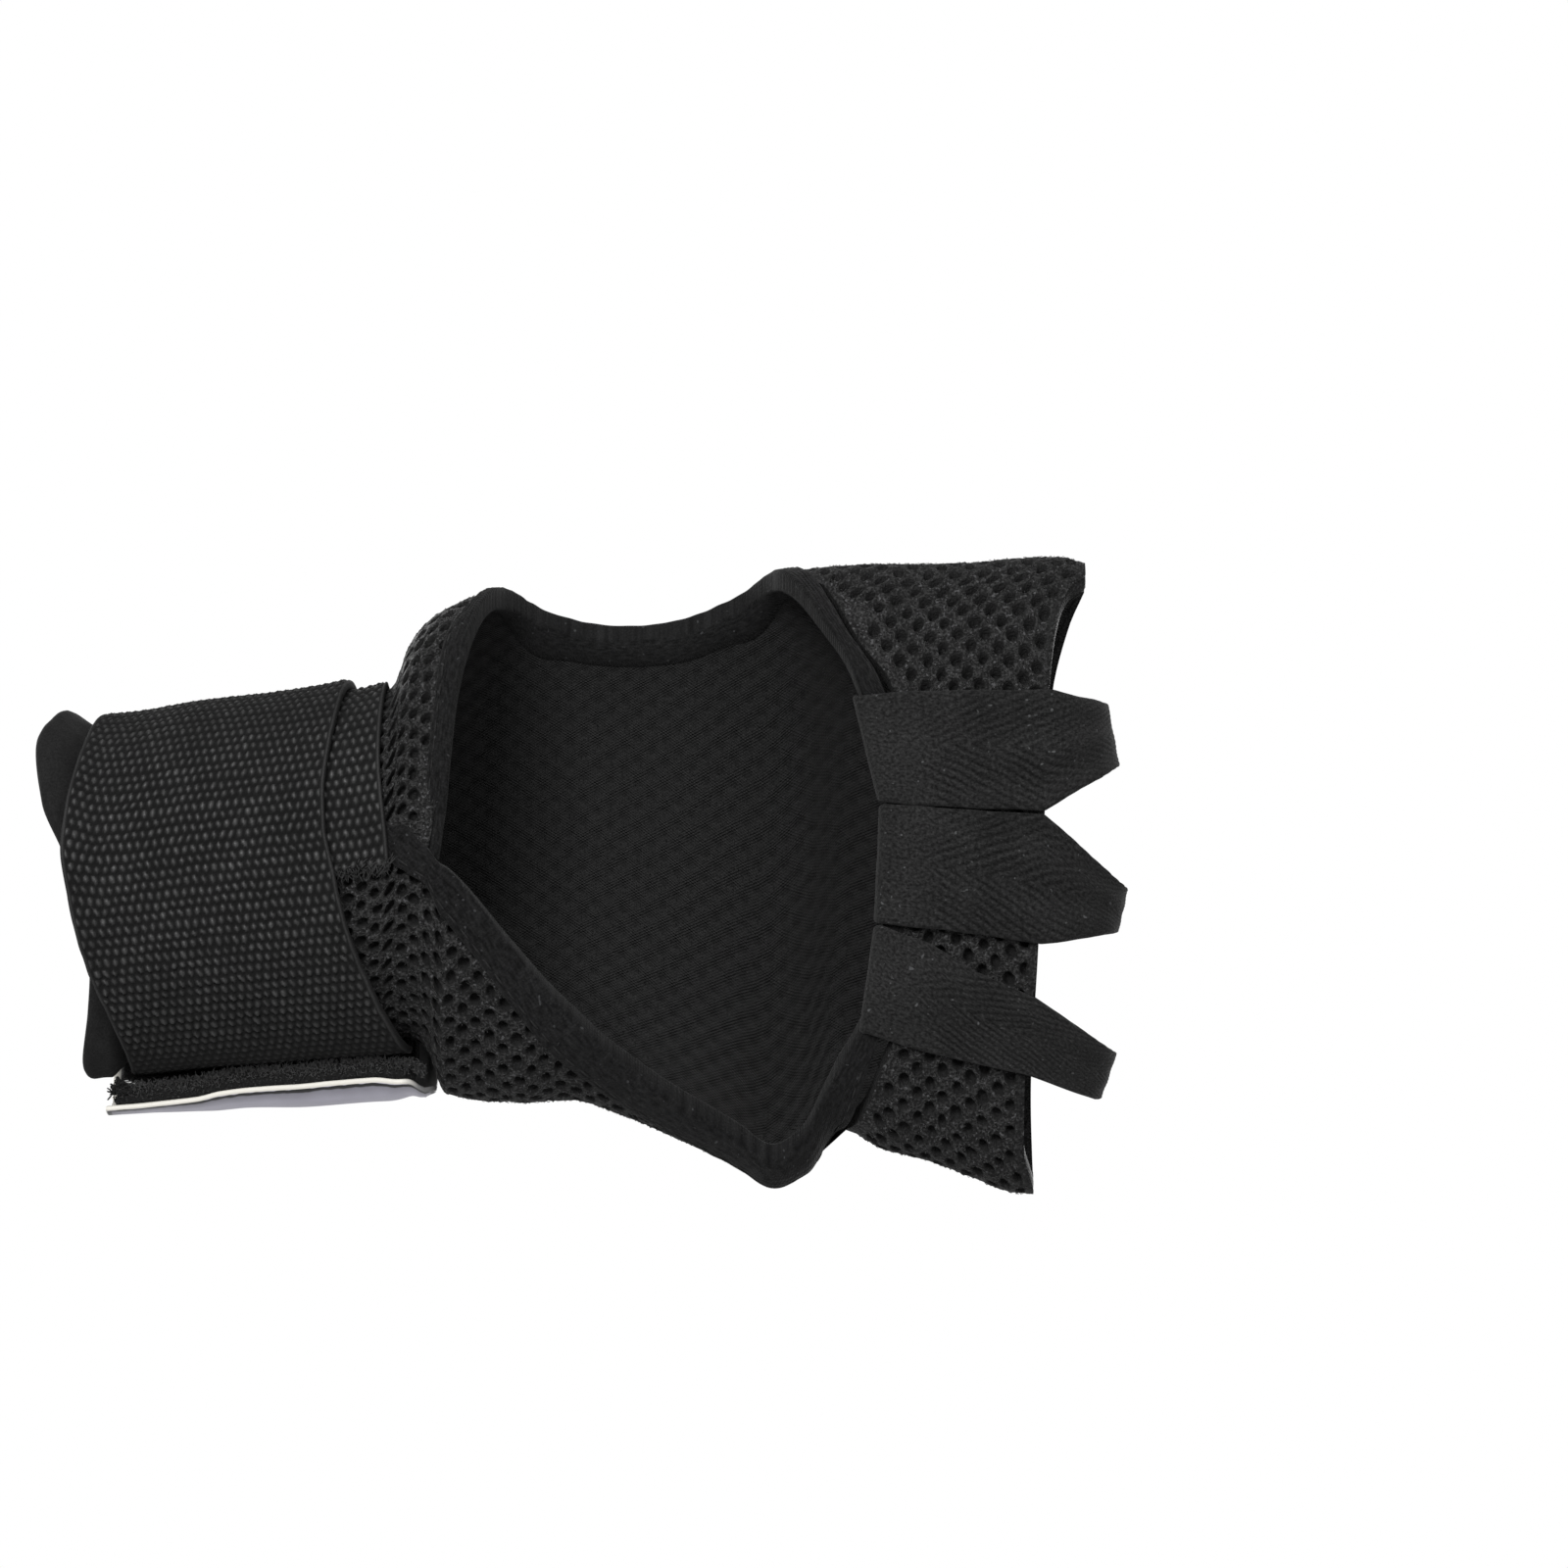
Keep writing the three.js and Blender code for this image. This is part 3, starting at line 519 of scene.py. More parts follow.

# %% [markdown]
# ## The spacer mesh shell
# Spacer mesh is a thick knit whose outer face has staggered holes down to a ground, which is painted dark as
# shade. A texture of holes would look flat at the rim of the hand, so the holes are real. The cloth is cut
# into diamond cells, one for each hole, whose corners are shared. In a cell, rings of points go from the
# crest of the ridge over the hole's rim and down to its floor. To lay the cells evenly, lengths along the
# hand and round it are measured on the curved face first.

# %% Finger end and knit map
FINGER_EDGE_PALM = np.array([  # z, x
    (-46.4, 122.4), (-40, 120.8), (-29, 120.9), (-13, 122.6), (10, 123.8), (30, 124.6), (38, 125.4),
    (43, 126.5), (46, 128), (48.4, 130.3),
]) * MM

FINGER_EDGE_BACK = np.array([  # z, x
    (-46.4, 122.4), (-35, 122.2), (-10, 123.4), (12, 124.4), (30, 125.4), (42, 128), (48.4, 130.3),
]) * MM
CUFF_END = -5 * MM
GAP = 0.35 * MM
KNUCKLE_X = 124 * MM
MESH_THICK = 2.5 * MM
HOLE_ROWS = 31  # along the hand
HOLE_COLUMNS = 52  # round the hand
FINE = 3  # map points in half a hole pitch
MAP_ROWS, MAP_COLUMNS = 2 * HOLE_ROWS * FINE, 2 * HOLE_COLUMNS * FINE
FLARE_COUNTS = 0.4
palm_edge, back_edge = (smooth_column(*edge.T) for edge in (FINGER_EDGE_PALM, FINGER_EDGE_BACK))


def finger_end(angle):
    """The x of the mesh's finger end at an angle, read at the height that the knuckles' section has there."""
    z = face(KNUCKLE_X, angle)[..., 2]
    return np.where(np.cos(angle) < 0, palm_edge(z), back_edge(z))


def knit_map():
    """x and angle at evenly spaced places of the cloth: even in length along the hand, then even round it.
    The flares beside the strap count little, because the knit stretches there."""
    angles = np.linspace(0, 2 * np.pi, 361)
    start = CUFF_END + GAP
    x = start + np.linspace(0, 1, 241)[:, None] * (finger_end(angles) - start)
    run = lengths(face(x, angles) * (1, 1, FLARE_COUNTS))
    rows = np.linspace(0, 1, MAP_ROWS + 1)
    x = np.stack([np.interp(rows, run[:, j], x[:, j]) for j in range(len(angles))], axis=1)
    run = lengths(face(x, angles), 1)
    columns = np.linspace(0, 1, MAP_COLUMNS + 1)
    turned = np.stack([np.interp(columns, run[i], angles) for i in range(len(rows))])
    x = np.stack([np.interp(turned[i], angles, x[i]) for i in range(len(rows))])
    return x, turned


KNIT_X, KNIT_ANGLE = knit_map()


def knit_place(row, column):
    """The x and angle of a place in the knit, in half hole pitches, read between four points of the map."""
    i = np.clip(row * FINE, 0, len(KNIT_X) - 1)
    j = (column * FINE) % MAP_COLUMNS
    i0 = np.minimum(i.astype(int), len(KNIT_X) - 2)
    j0 = j.astype(int)
    a, b = i - i0, j - j0
    corners = [((1 - a) * (1 - b), 0, 0), (a * (1 - b), 1, 0), ((1 - a) * b, 0, 1), (a * b, 1, 1)]
    return [sum(share * m[i0 + di, j0 + dj] for share, di, dj in corners) for m in (KNIT_X, KNIT_ANGLE)]


print("knit map:", KNIT_X.shape)

# %% [markdown]
# The palm opening is cut out of the mesh along the tape that binds it. The tape's two edges are a given
# table, read with a Catmull-Rom curve. Where the tape is sewn down, the cut runs hidden beneath its middle,
# and where the photograph shows a dark slit beside the tape, the cut stays away from it.

# %% The binding's line and the opening's cut
BINDING = np.array([  # x and z of the skin edge, x and z of the mesh edge
    (23.8, 10.4, 23.5, 6.0), (28.5, 8.0, 27.4, 2.2), (33.3, 3.0, 31.5, -2.4), (38.0, -2.2, 35.4, -7.8),
    (43.6, -9.4, 40.8, -15.0), (49.5, -16.6, 46.0, -21.6), (55.4, -22.5, 51.4, -27.4),
    (61.2, -27.5, 57.6, -31.8), (66.9, -31.6, 64.2, -35.9), (72.8, -35.2, 70.4, -39.2),
    (78.2, -38.6, 76.6, -42.3), (83.0, -41.2, 82.8, -45.7), (86.6, -38.6, 88.6, -43.0),
    (89.4, -33.8, 92.4, -37.4), (91.8, -29.1, 96.2, -30.3), (94.6, -22.4, 98.8, -23.1),
    (96.5, -15.7, 100.6, -15.6), (98.4, -6.0, 102.6, -5.8), (99.3, 4.0, 103.5, 4.0),
    (99.0, 13.0, 103.2, 12.8), (97.2, 24.0, 101.4, 23.6), (94.4, 33.6, 98.4, 32.4),
    (89.8, 41.2, 93.4, 39.8), (85.2, 46.9, 88.4, 47.4), (79.6, 45.9, 82.0, 42.4), (73.6, 42.8, 75.0, 38.8),
    (66.8, 40.6, 67.4, 36.4), (59.8, 39.8, 59.6, 35.6), (52.8, 40.6, 51.6, 36.5), (46.4, 42.8, 44.0, 39.2),
    (41.0, 45.3, 37.6, 44.2), (36.6, 37.6, 33.0, 38.2), (34.8, 29.7, 31.3, 28.6), (33.9, 21.6, 30.4, 20.2),
    (33.1, 12.4, 29.4, 11.2), (32.0, 4.0, 28.2, 5.0),
]) * MM
LAST_ROW = len(BINDING) - 1
ON_PALM = np.ones(len(BINDING), bool)
ON_PALM[24:30] = False  # behind the thumb
CLEARANCE = np.full(len(BINDING), GAP)  # from the tape to the mesh: more at the two dark slits
CLEARANCE[13:17] = np.array([0.7, 1.7, 2.3, 0.8]) * MM
CLEARANCE[20:23] = np.array([1.1, 1.9, 1.7]) * MM
BINDING_EDGES = [np.stack([x, angle_at(x, z, ON_PALM)], axis=-1) for x, z in (BINDING.T[:2], BINDING.T[2:])]
BINDING_EDGES = np.stack(BINDING_EDGES, axis=1)  # row, skin or mesh edge, x or angle
CUT_STEPS = 900
SEWN_ACROSS = 0.45  # where the cut lies hidden beneath the tape


def on_binding(along, across):
    """The x and angle of a place on the tape: a Catmull-Rom curve through each edge's rows, and a straight
    line across from the skin edge, 0, to the mesh edge, 1."""
    along, across = np.broadcast_arrays(np.asarray(along, float), across)
    i = np.clip(np.floor(along).astype(int), 0, LAST_ROW - 1)
    t = (along - i)[..., None, None]
    a, b, c, d = (BINDING_EDGES[np.clip(i + k, 0, LAST_ROW)] for k in (-1, 0, 1, 2))
    edges = b + 0.5 * t * (c - a + t * (2 * a - 5 * b + 4 * c - d + t * (3 * (b - c) + d - a)))
    place = edges[..., 0, :] * (1 - across[..., None]) + edges[..., 1, :] * across[..., None]
    return place[..., 0], place[..., 1]


def opening_cut():
    """The cut's closed line of x and angle, and its points on the face."""
    along = np.linspace(0, LAST_ROW, CUT_STEPS)
    width = np.linalg.norm(face(*on_binding(along, 1.0)) - face(*on_binding(along, 0.0)), axis=-1)
    clear = np.interp(along, np.arange(LAST_ROW + 1), CLEARANCE)
    hidden = np.clip((0.6 * MM - clear) / (0.25 * MM), 0, 1)
    x, angle = on_binding(along, hidden * SEWN_ACROSS + (1 - hidden) * (1 + clear / width))
    return np.stack([x, angle], axis=-1), face(x, angle)


CUT, CUT_POINTS = opening_cut()


def in_opening(x, angle):
    """Whether places are inside the cut: a line from each along x crosses it an odd number of times."""
    x1, angle1 = CUT.T
    x2, angle2 = np.roll(CUT, -1, axis=0).T
    between = (angle1 > angle[:, None]) != (angle2 > angle[:, None])
    step = np.where(angle2 == angle1, 1, angle2 - angle1)
    crossing = x1 + (angle[:, None] - angle1) / step * (x2 - x1)
    return (between & (x[:, None] < crossing)).sum(axis=1) % 2 == 1


def drawn_to_cut(x, angle):
    """Places inside the opening moved to the cut's nearest point, and which those are."""
    inside = in_opening(x, angle)
    far = np.linalg.norm(face(x[inside], angle[inside])[:, None] - CUT_POINTS, axis=-1)
    x, angle = x.copy(), angle.copy()
    x[inside], angle[inside] = CUT[far.argmin(axis=1)].T
    return x, angle, inside


print("length of the cut in mm:", round(run_along(CUT_POINTS)[-1] / MM))

# %% [markdown]
# The strap hides the mesh at the wrist, so cells well under it are left out. The strap's winding is the
# second given table: how many degrees it is wound, the middle of the band and half its width along the
# hand.

# %% The strap's winding
WINDING = np.array([  # degrees wound, middle of the band, half its width
    (0, 5.0, 19.5), (38, 3.5, 19.5), (90, 4.2, 19.6), (180, 4.4, 20), (262, 6.0, 21.2), (278, 6.3, 21.3),
    (298, 5.1, 20.6), (322, 2.0, 20.1), (341, -1.2, 20.1), (360, -3.8, 20.2), (373, -5.1, 20),
    (385, -4.9, 19.6), (400, -3.9, 19.3), (418, -2.6, 19.1), (447, -0.9, 18.9), (540, 2, 20),
    (641, 5.6, 20.6),
]) * (1, MM, MM)
CLIMB_FROM, CLIMB_TO = 262, 292  # the second turn climbs onto the first between these angles of winding
STRAP_THICK = 1.5 * MM
band_middle, band_half = smooth_columns(WINDING)


def on_winding(wound, x, height):
    """A point of a band wound on the wrist: the face at 180 degrees less the winding, lifted by the winding's
    bed, which rises by a strap's thickness where the second turn climbs onto the first, and by height."""
    bed = GAP + (STRAP_THICK + GAP) * eased((wound - CLIMB_FROM) / (CLIMB_TO - CLIMB_FROM))
    return face(x, np.radians(180 - wound), bed + height)


def strap_edge(angle):
    """The strap's edge towards the fingers at an angle: the further of its two turns."""
    degrees = np.degrees(angle) % 360
    second = np.where(degrees < 900 - WINDING[-1, 0], 540 - degrees, 900 - degrees)
    return np.maximum(*(band_middle(wound) + band_half(wound) for wound in ((180 - degrees) % 360, second)))


# %% The shell's cells
HIDDEN_UNDER_STRAP = 3 * MM
HOLE_ALONG = 0.80 * MM  # half sizes
HOLE_AROUND = 1.08 * MM
HALF_PITCH = 2.1 * MM
RINGS = [(1.32, 0.04, 0.0), (1.0, -0.26, 0.8), (1.04, -1.55, 1.0)]  # times the hole's size, lift in mm, painted shade
CREST_LIFT = 0.10 * MM
RIM_ROUGH = 0.09 * MM
INNER_PIT, HEM_SHADE, WALL_SHADE = -1.0, 0.6, 0.9  # painted shade off the outer face; -1 marks the inner face
HEM_HALF_LONG, HEM_HALF_THICK = 0.75 * MM, MESH_THICK / 2 + 0.12 * MM
HEM_SQUARE = 3.0
HEM_POINTS = 14  # round its section
CRUSHED = 0.05  # of a ring's size, at random
SPECK = 0.001 * MM * MM  # a face this small has no width
CORNERS = 12  # points of a cell's outline, and of each ring in it
KEY = 10000  # more than the map's columns, so that row * KEY + column tells a place
KNIT_GRID = np.mgrid[: 2 * HOLE_ROWS + 1, : 2 * HOLE_COLUMNS].astype(float)


def knit_cells():
    """The rows and columns of the cells beside the strap that have a corner out of the opening."""
    row, column = KNIT_GRID[:, KNIT_GRID.sum(axis=0) % 2 == 0]
    x, angle = knit_place(row, column)
    beside = x > strap_edge(angle) - HIDDEN_UNDER_STRAP
    steps = [(0, 0), (1, 0), (-1, 0), (0, 1), (0, -1)]
    out = np.any([~in_opening(*knit_place(row + down, column + across)) for down, across in steps], axis=0)
    return row[beside & out], column[beside & out]


def shell_outside():
    """The outer face, cell by cell. A cell's outline is a diamond of points in thirds of half a pitch, found
    once for all the cells that share them. Inside it, each ring is an ellipse of points at its own lift."""
    row, column = knit_cells()
    down = np.array([3, 2, 1, 0, -1, -2, -3, -2, -1, 0, 1, 2])
    across = np.roll(down, 3)
    outline_row = np.clip(np.rint(row * FINE).astype(int)[:, None] + down, 0, MAP_ROWS)
    outline_column = (np.rint(column * FINE).astype(int)[:, None] + across) % MAP_COLUMNS
    keys, outline = np.unique(outline_row * KEY + outline_column, return_inverse=True)
    outline = outline.reshape(-1, CORNERS)
    crest_row, crest_column = (keys // KEY) / FINE, (keys % KEY) / FINE
    x, angle, moved = drawn_to_cut(*knit_place(crest_row, crest_column))
    draw = np.random.default_rng(7)
    points = [face(x, angle, CREST_LIFT * draw.uniform(-1, 1, len(x)) * ~moved)]
    places = [np.stack([crest_row, crest_column], axis=-1) * HALF_PITCH]
    pit_shades = [np.zeros(len(keys))]
    centre_in = in_opening(*knit_place(row, column))
    plain = moved[outline].any(axis=1) | centre_in | (row >= 2 * HOLE_ROWS) | (row < 1)
    faces, first = [], len(keys)

    size = draw.normal(1, 0.09, (len(row), 2)).clip(0.78, 1.2)
    nudge = draw.normal(0, 0.06, (len(row), 2))
    depth = draw.uniform(0.8, 1.1, len(row))
    turn = np.arange(CORNERS) * 2 * np.pi / CORNERS + draw.normal(0, 0.12, (len(row), 1))
    before = outline[~plain]
    for number, (times, lift, pit_shade) in enumerate(RINGS):
        uneven = 1 + CRUSHED * draw.uniform(-1, 1, (len(row), CORNERS)) * (number < 2)
        uneven *= times / HALF_PITCH
        ring_row = row[:, None] + nudge[:, :1] + uneven * size[:, :1] * HOLE_ALONG * np.cos(turn)
        ring_column = column[:, None] + nudge[:, 1:] + uneven * size[:, 1:] * HOLE_AROUND * np.sin(turn)
        ring_row, ring_column = ring_row[~plain], ring_column[~plain]
        x, angle = knit_place(ring_row, ring_column)
        rough = RIM_ROUGH * draw.uniform(-1, 1, x.shape) * (number == 0)
        points.append(face(x, angle, lift * MM * depth[~plain, None] + rough).reshape(-1, 3))
        places.append(grid_places(ring_row, ring_column) * HALF_PITCH)
        pit_shades.append(np.full(x.size, pit_shade))
        now = first + np.arange(x.size).reshape(-1, CORNERS)
        quads = np.stack([before, now, np.roll(now, -1, axis=1), np.roll(before, -1, axis=1)], axis=-1)
        faces.append(quads.reshape(-1, 4))
        before, first = now, first + x.size
    faces.append(before[:, ::-1])
    filled = outline[plain]
    centre_x, centre_angle, _ = drawn_to_cut(*knit_place(row[plain], column[plain]))
    points.append(face(centre_x, centre_angle, CREST_LIFT * ~centre_in[plain]))
    places.append(np.stack([row[plain], column[plain]], axis=-1) * HALF_PITCH)
    pit_shades.append(np.zeros(plain.sum()))
    centre = (first + np.arange(plain.sum()))[:, None].repeat(CORNERS, axis=1)
    fan = np.stack([filled, centre, np.roll(filled, -1, axis=1)], axis=-1).reshape(-1, 3)
    points = np.concatenate(points)
    a, b, c = (points[fan[:, k]] for k in range(3))
    faces.append(fan[np.linalg.norm(np.cross(b - a, c - a), axis=1) > SPECK])
    print("holes:", int((~plain).sum()), "plain cells:", int(plain.sum()))
    outside = (points, faces, np.concatenate(places), np.concatenate(pit_shades))
    return outside, (row[~plain], column[~plain])


def shell_inside():
    """The inner face, a grid in the knit's own rows and columns, cut out at the opening in the same way."""
    faces = grid_faces(*KNIT_GRID.shape[1:], ring=True)
    row, column = KNIT_GRID.reshape(2, -1)
    first = faces[:, 0]
    faces = faces[~in_opening(*knit_place(row[first] + 0.5, column[first] + 0.5))]
    used, faces = np.unique(faces[:, ::-1], return_inverse=True)
    row, column = row[used], column[used]
    x, angle, _ = drawn_to_cut(*knit_place(row, column))
    places = np.stack([row, column], axis=-1) * HALF_PITCH
    return face(x, angle, -MESH_THICK), [faces.reshape(-1, 4)], places, np.full(len(used), INNER_PIT)


def cut_wall():
    """The cloth's cut edge: the cut's line carried straight from the outer face to the inner one."""
    lift = np.array([0.0, -0.5, -1.25, -2.0, -2.5])[:, None] * MM
    points = face(*CUT.T, lift).reshape(-1, 3)
    faces = grid_faces(len(lift), len(CUT), ring=True)
    # The cut wall is painted nearly black, as shade in the slit.
    return points, [faces], points[:, [0, 2]], np.full(len(points), WALL_SHADE)


def finger_hem():
    """The rolled finger edge: a flattened ring of knit round the mesh's end, its section a rounded oblong."""
    angle = np.linspace(0, 2 * np.pi, 4 * HOLE_COLUMNS, endpoint=False)
    turn = np.linspace(0, 2 * np.pi, HEM_POINTS, endpoint=False)[:, None]
    x = finger_end(angle) + HEM_HALF_LONG * (bent(np.cos(turn), HEM_SQUARE) - 1)
    uneven = 0.07 * MM * ripple(angle * 40 * MM, turn * 0, 3 * MM, 3)
    lift = HEM_HALF_THICK * bent(np.sin(turn), HEM_SQUARE) - MESH_THICK / 2 + uneven
    faces = [grid_faces(len(turn), len(angle), torus=True)]
    points = face(x, angle, lift).reshape(-1, 3)
    # The hem is painted darker, as shade.
    return points, turned_out(points, faces), grid_places(x, angle * 35 * MM), np.full(len(points), HEM_SHADE)


def joined(*parts):
    """Several sets of points, faces, places and named values as one."""
    first, faces = 0, []
    for points, groups, _, _ in parts:
        faces += [group + first for group in groups]
        first += len(points)
    points, places, values = (np.concatenate([part[k] for part in parts]) for k in (0, 2, 3))
    return points, faces, places, values


outside, HOLES = shell_outside()
*cloth, pit_shades = joined(outside, shell_inside(), finger_hem(), cut_wall())
shell = make_piece("spacer_mesh_shell", *cloth, period=2 * HOLE_COLUMNS * HALF_PITCH, values={"pit_shade": pit_shades})
dress(shell, spacer_mesh_knit, "spacer_mesh", "mesh_shell")

# %% [markdown]
# Threads are short tubes. One function makes any number of them at once, for the mesh's loops of yarn,
# stitches, frayed ends and fuzz.

# %% Threads


def threads(starts, ends, normals, radius, arch, sides=5, joints=5):
    """Short threads: straight from start to end plus an arch along the normal that is 4 t (1 - t) high, round
    in section and thinner towards both ends. Returns points, faces and places."""
    t = np.linspace(0, 1, joints)[:, None]
    line = starts[:, None] * (1 - t) + ends[:, None] * t
    line = line + normals[:, None] * (np.reshape(arch, (-1, 1, 1)) * 4 * t * (1 - t))
    way = ends - starts
    side = unit(np.cross(way, normals))
    up = unit(np.cross(side, way))
    turn = np.arange(sides) * 2 * np.pi / sides
    ring = side[:, None, None] * np.cos(turn)[:, None] + up[:, None, None] * np.sin(turn)[:, None]
    thick = radius * np.sqrt(1 - 0.9 * np.abs(2 * t - 1) ** 3)[None, :, :, None]
    points = (line[:, :, None] + ring * thick).reshape(-1, 3)
    first = (np.arange(len(starts)) * joints * sides)[:, None, None]
    faces = [(group + first).reshape(-1, group.shape[1]) for group in tube_faces(joints, sides)]
    places = grid_places(np.tile(np.linspace(0, 2 * MM, joints).repeat(sides), len(starts)), 0.0)
    return points, turned_out(points, faces), places


def thread_finish(name, colour, roughness):
    finish = Finish(name, roughness=roughness, specular=0.2, sheen=0.02)
    finish.colour(finish.clouds(0.5 * MM, (0.3, 0.6 * colour), (0.7, 1.4 * colour)))
    finish.ribs(finish.cloth_axes()[0], 0.22 * MM, 0.04 * MM)
    return finish.material


# %% [markdown]
# The ridges between the holes are loops of shiny filament that stand out of the cloth and catch the light.
# They are placed at random on the ridges, more or less along them.

# %% Loops of yarn on the ridges
LOOPS = 12000
LOOP_RADIUS = 0.06 * MM


def make_loops():
    """Short arched threads. A ridge runs in the middle between two holes, which are a half pitch in rows and
    in columns apart: its places are a share t along it and an offset across it."""
    draw = np.random.default_rng(11)
    picked = draw.integers(0, len(HOLES[0]), LOOPS)
    t = draw.uniform(0.05, 0.95, LOOPS)
    offset = draw.normal(0, 0.09, LOOPS)
    down = draw.choice([-1, 1], LOOPS)
    middle = np.stack([HOLES[0][picked] + down * (1 - t + offset), HOLES[1][picked] + t + offset])
    turn = np.arctan2(1, -down) + draw.normal(0, 0.65, LOOPS)
    half = draw.uniform(0.10, 0.21, LOOPS) * np.stack([np.cos(turn), np.sin(turn)])
    starts, ends = (face(*knit_place(*place), 0.02 * MM) for place in (middle - half, middle + half))
    above = unit(face(*knit_place(*middle), MM) - face(*knit_place(*middle)))
    arch = draw.uniform(0.06, 0.22, LOOPS) * MM
    return make_piece("mesh_yarn_loops", *threads(starts, ends, above, LOOP_RADIUS, arch, sides=3, joints=3))


# The loops are coloured much lighter than the knit: a painted highlight, besides their real shine.
dress(make_loops(), thread_finish("mesh_filament_painted_highlight", 0.055, 0.42), "spacer_mesh")

# %% [markdown]
# ## The tape that binds the opening
# A strip of black cotton twill is folded over the mesh's edge, all round the palm and thumb opening, and sewn
# through. It could be a curve with a flat bevel, but its width changes and its edges are rolled, so it is a
# closed profile carried along the table's line. It starts under the strap, on top of its own end. Where the
# finger tapes cover it, along the palm's edge, it is drawn in a little.

# %% Binding finish
def cotton(finish, size, streak):
    """Cotton: slow changes of tone, and fibres as fine noise in the cloth's own axes that also stand out a
    little. A small streak makes them run along the tape."""
    fibres = finish.noise(size, place="UV", stretch=(streak, 1, 1))
    grain = finish.noise(0.3 * MM, detail=2)
    tint = finish.clouds(8 * MM, (0.3, 0.0095), (0.7, 0.013))
    tint = finish.shaded(tint, finish.ramp(fibres, (0.34, 0.5), (0.66, 1.6)))
    tint = finish.shaded(tint, finish.ramp(grain, (0.3, 0.7), (0.7, 1.35)))
    lint = finish.clouds(0.7 * MM, (0.79, 0.0), (0.84, 1.0), detail=0)
    finish.bump(fibres, 0.16 * MM)
    finish.bump(grain, 0.14 * MM)
    return finish.mixed(lint, tint, (0.05, 0.051, 0.052, 1))


def binding_finish():
    finish = Finish("cotton_twill_binding", roughness=0.9, specular=0.06, sheen=0.05)
    finish.colour(finish.shaded(cotton(finish, 0.45 * MM, 0.3), (0.65, 0.65, 0.66, 1)))
    along, across = finish.cloth_axes()
    finish.ribs(finish.maths("ADD", along, finish.product(across, 0.8)), 0.62 * MM, 0.05 * MM)
    return finish.material


twill_tape = binding_finish()

# %% Binding
BINDING_TOP = 0.62 * MM
BINDING_WIDTH, BINDING_LENGTH = 4.6 * MM, 330 * MM  # for its weave
BINDING_STEPS = 12  # between two rows of its table
EDGE_ROUND, EDGE_DROP = 0.17, 0.6 * MM  # of the width, and how far down
STITCHES_SINK = 0.16 * MM
DRAWN_IN = 0.2  # of the width, under the finger tapes
UNDER_TAPES = (14.2, 20.8)  # rows of the table
STITCH_LINE = 0.8  # of the width, from the skin edge


def binding_profile():
    """The tape's closed section: across from 0 to 1 and lift. The top is gently crowned with rounded edges,
    and sunk along the stitches."""
    across = np.linspace(0, 1, 31)
    edge = rounded(1 - np.minimum(across, 1 - across) / EDGE_ROUND)
    top = BINDING_TOP - EDGE_DROP * edge + 0.04 * MM * np.cos(2 * np.pi * across * 6)
    top -= STITCHES_SINK * hill(across, STITCH_LINE, 0.045)
    low_across = [1.0, 1.0, 0.96, 0.5, 0.04, 0.0, 0.0]
    low_lift = np.array([-0.7, -2.2, -2.72, -2.78, -2.72, -2.2, -0.7]) * MM
    return np.append(across, low_across), np.append(top, low_lift)


def binding_overlap(along):
    """The start of the tape dips under the strap, and then lies on the tape's end, a thickness higher."""
    dip = 1.3125 * (1 - eased(along / 0.8))
    return (0.85 * hill(along, 0, 3.2) - dip - hill(along, LAST_ROW, 1.6)) * MM


def make_binding():
    """The section at each step along the table, with slow waves in its height and its edges."""
    along = np.linspace(0, LAST_ROW, LAST_ROW * BINDING_STEPS + 1)[:, None]
    across, lift = binding_profile()
    run = lengths(face(*on_binding(along[:, 0], 0.5)))[:, None] * BINDING_LENGTH
    wavy = ripple(run, 0 * run, 14 * MM, 21)
    covered = np.clip(np.minimum(along - UNDER_TAPES[0], UNDER_TAPES[1] - along), 0, 1)
    wide = across + (1 - across) * DRAWN_IN * covered + 0.035 * wavy * (across - 0.5)
    dent = 0.13 * MM * ripple(run, across * BINDING_WIDTH, 5 * MM, 22) * (lift > -MM)
    dent = dent + binding_overlap(along) * (lift > -1.5 * MM)
    points = face(*on_binding(along, wide), lift + dent - 0.3 * MM * covered * (lift > 0))
    faces = tube_faces(*points.shape[:2])
    points = points.reshape(-1, 3)
    places = grid_places(run, across * BINDING_WIDTH)
    return make_piece("opening_binding_tape", points, turned_out(points, faces), places)


dress(make_binding(), twill_tape, "twill_tape", "opening_binding")

# %% [markdown]
# The tape is sewn down with black thread near its outer edge, and each stitch is a thread of its own.

# %% Stitches along the binding
sewing_thread = thread_finish("black_sewing_thread", 0.009, 0.6)
STITCH_EVERY = 2.9 * MM
STITCH_LONG = 2.1 * MM
STITCH_RADIUS = 0.17 * MM


def make_binding_stitches():
    """One thread on each stitch, along the sunk line of the tape."""
    fine = np.linspace(0.6, LAST_ROW - 0.6, 3000)
    line = face(*on_binding(fine, STITCH_LINE))
    run = run_along(line)
    at = np.arange(0, run[-1] - STITCH_LONG, STITCH_EVERY)
    from_row, to_row = (np.interp(at + shift, run, fine) for shift in (0, STITCH_LONG))
    covered = (from_row > UNDER_TAPES[0]) & (from_row < UNDER_TAPES[1])
    from_row, to_row = from_row[~covered], to_row[~covered]
    lift = BINDING_TOP - 0.14 * MM
    ends = [face(*on_binding(row, STITCH_LINE), lift + binding_overlap(row)) for row in (from_row, to_row)]
    over = face(*on_binding(from_row, STITCH_LINE), lift + MM + binding_overlap(from_row)) - ends[0]
    return make_piece("binding_stitches", *threads(*ends, unit(over), STITCH_RADIUS, 0.10 * MM))


dress(make_binding_stitches(), sewing_thread, "twill_tape")

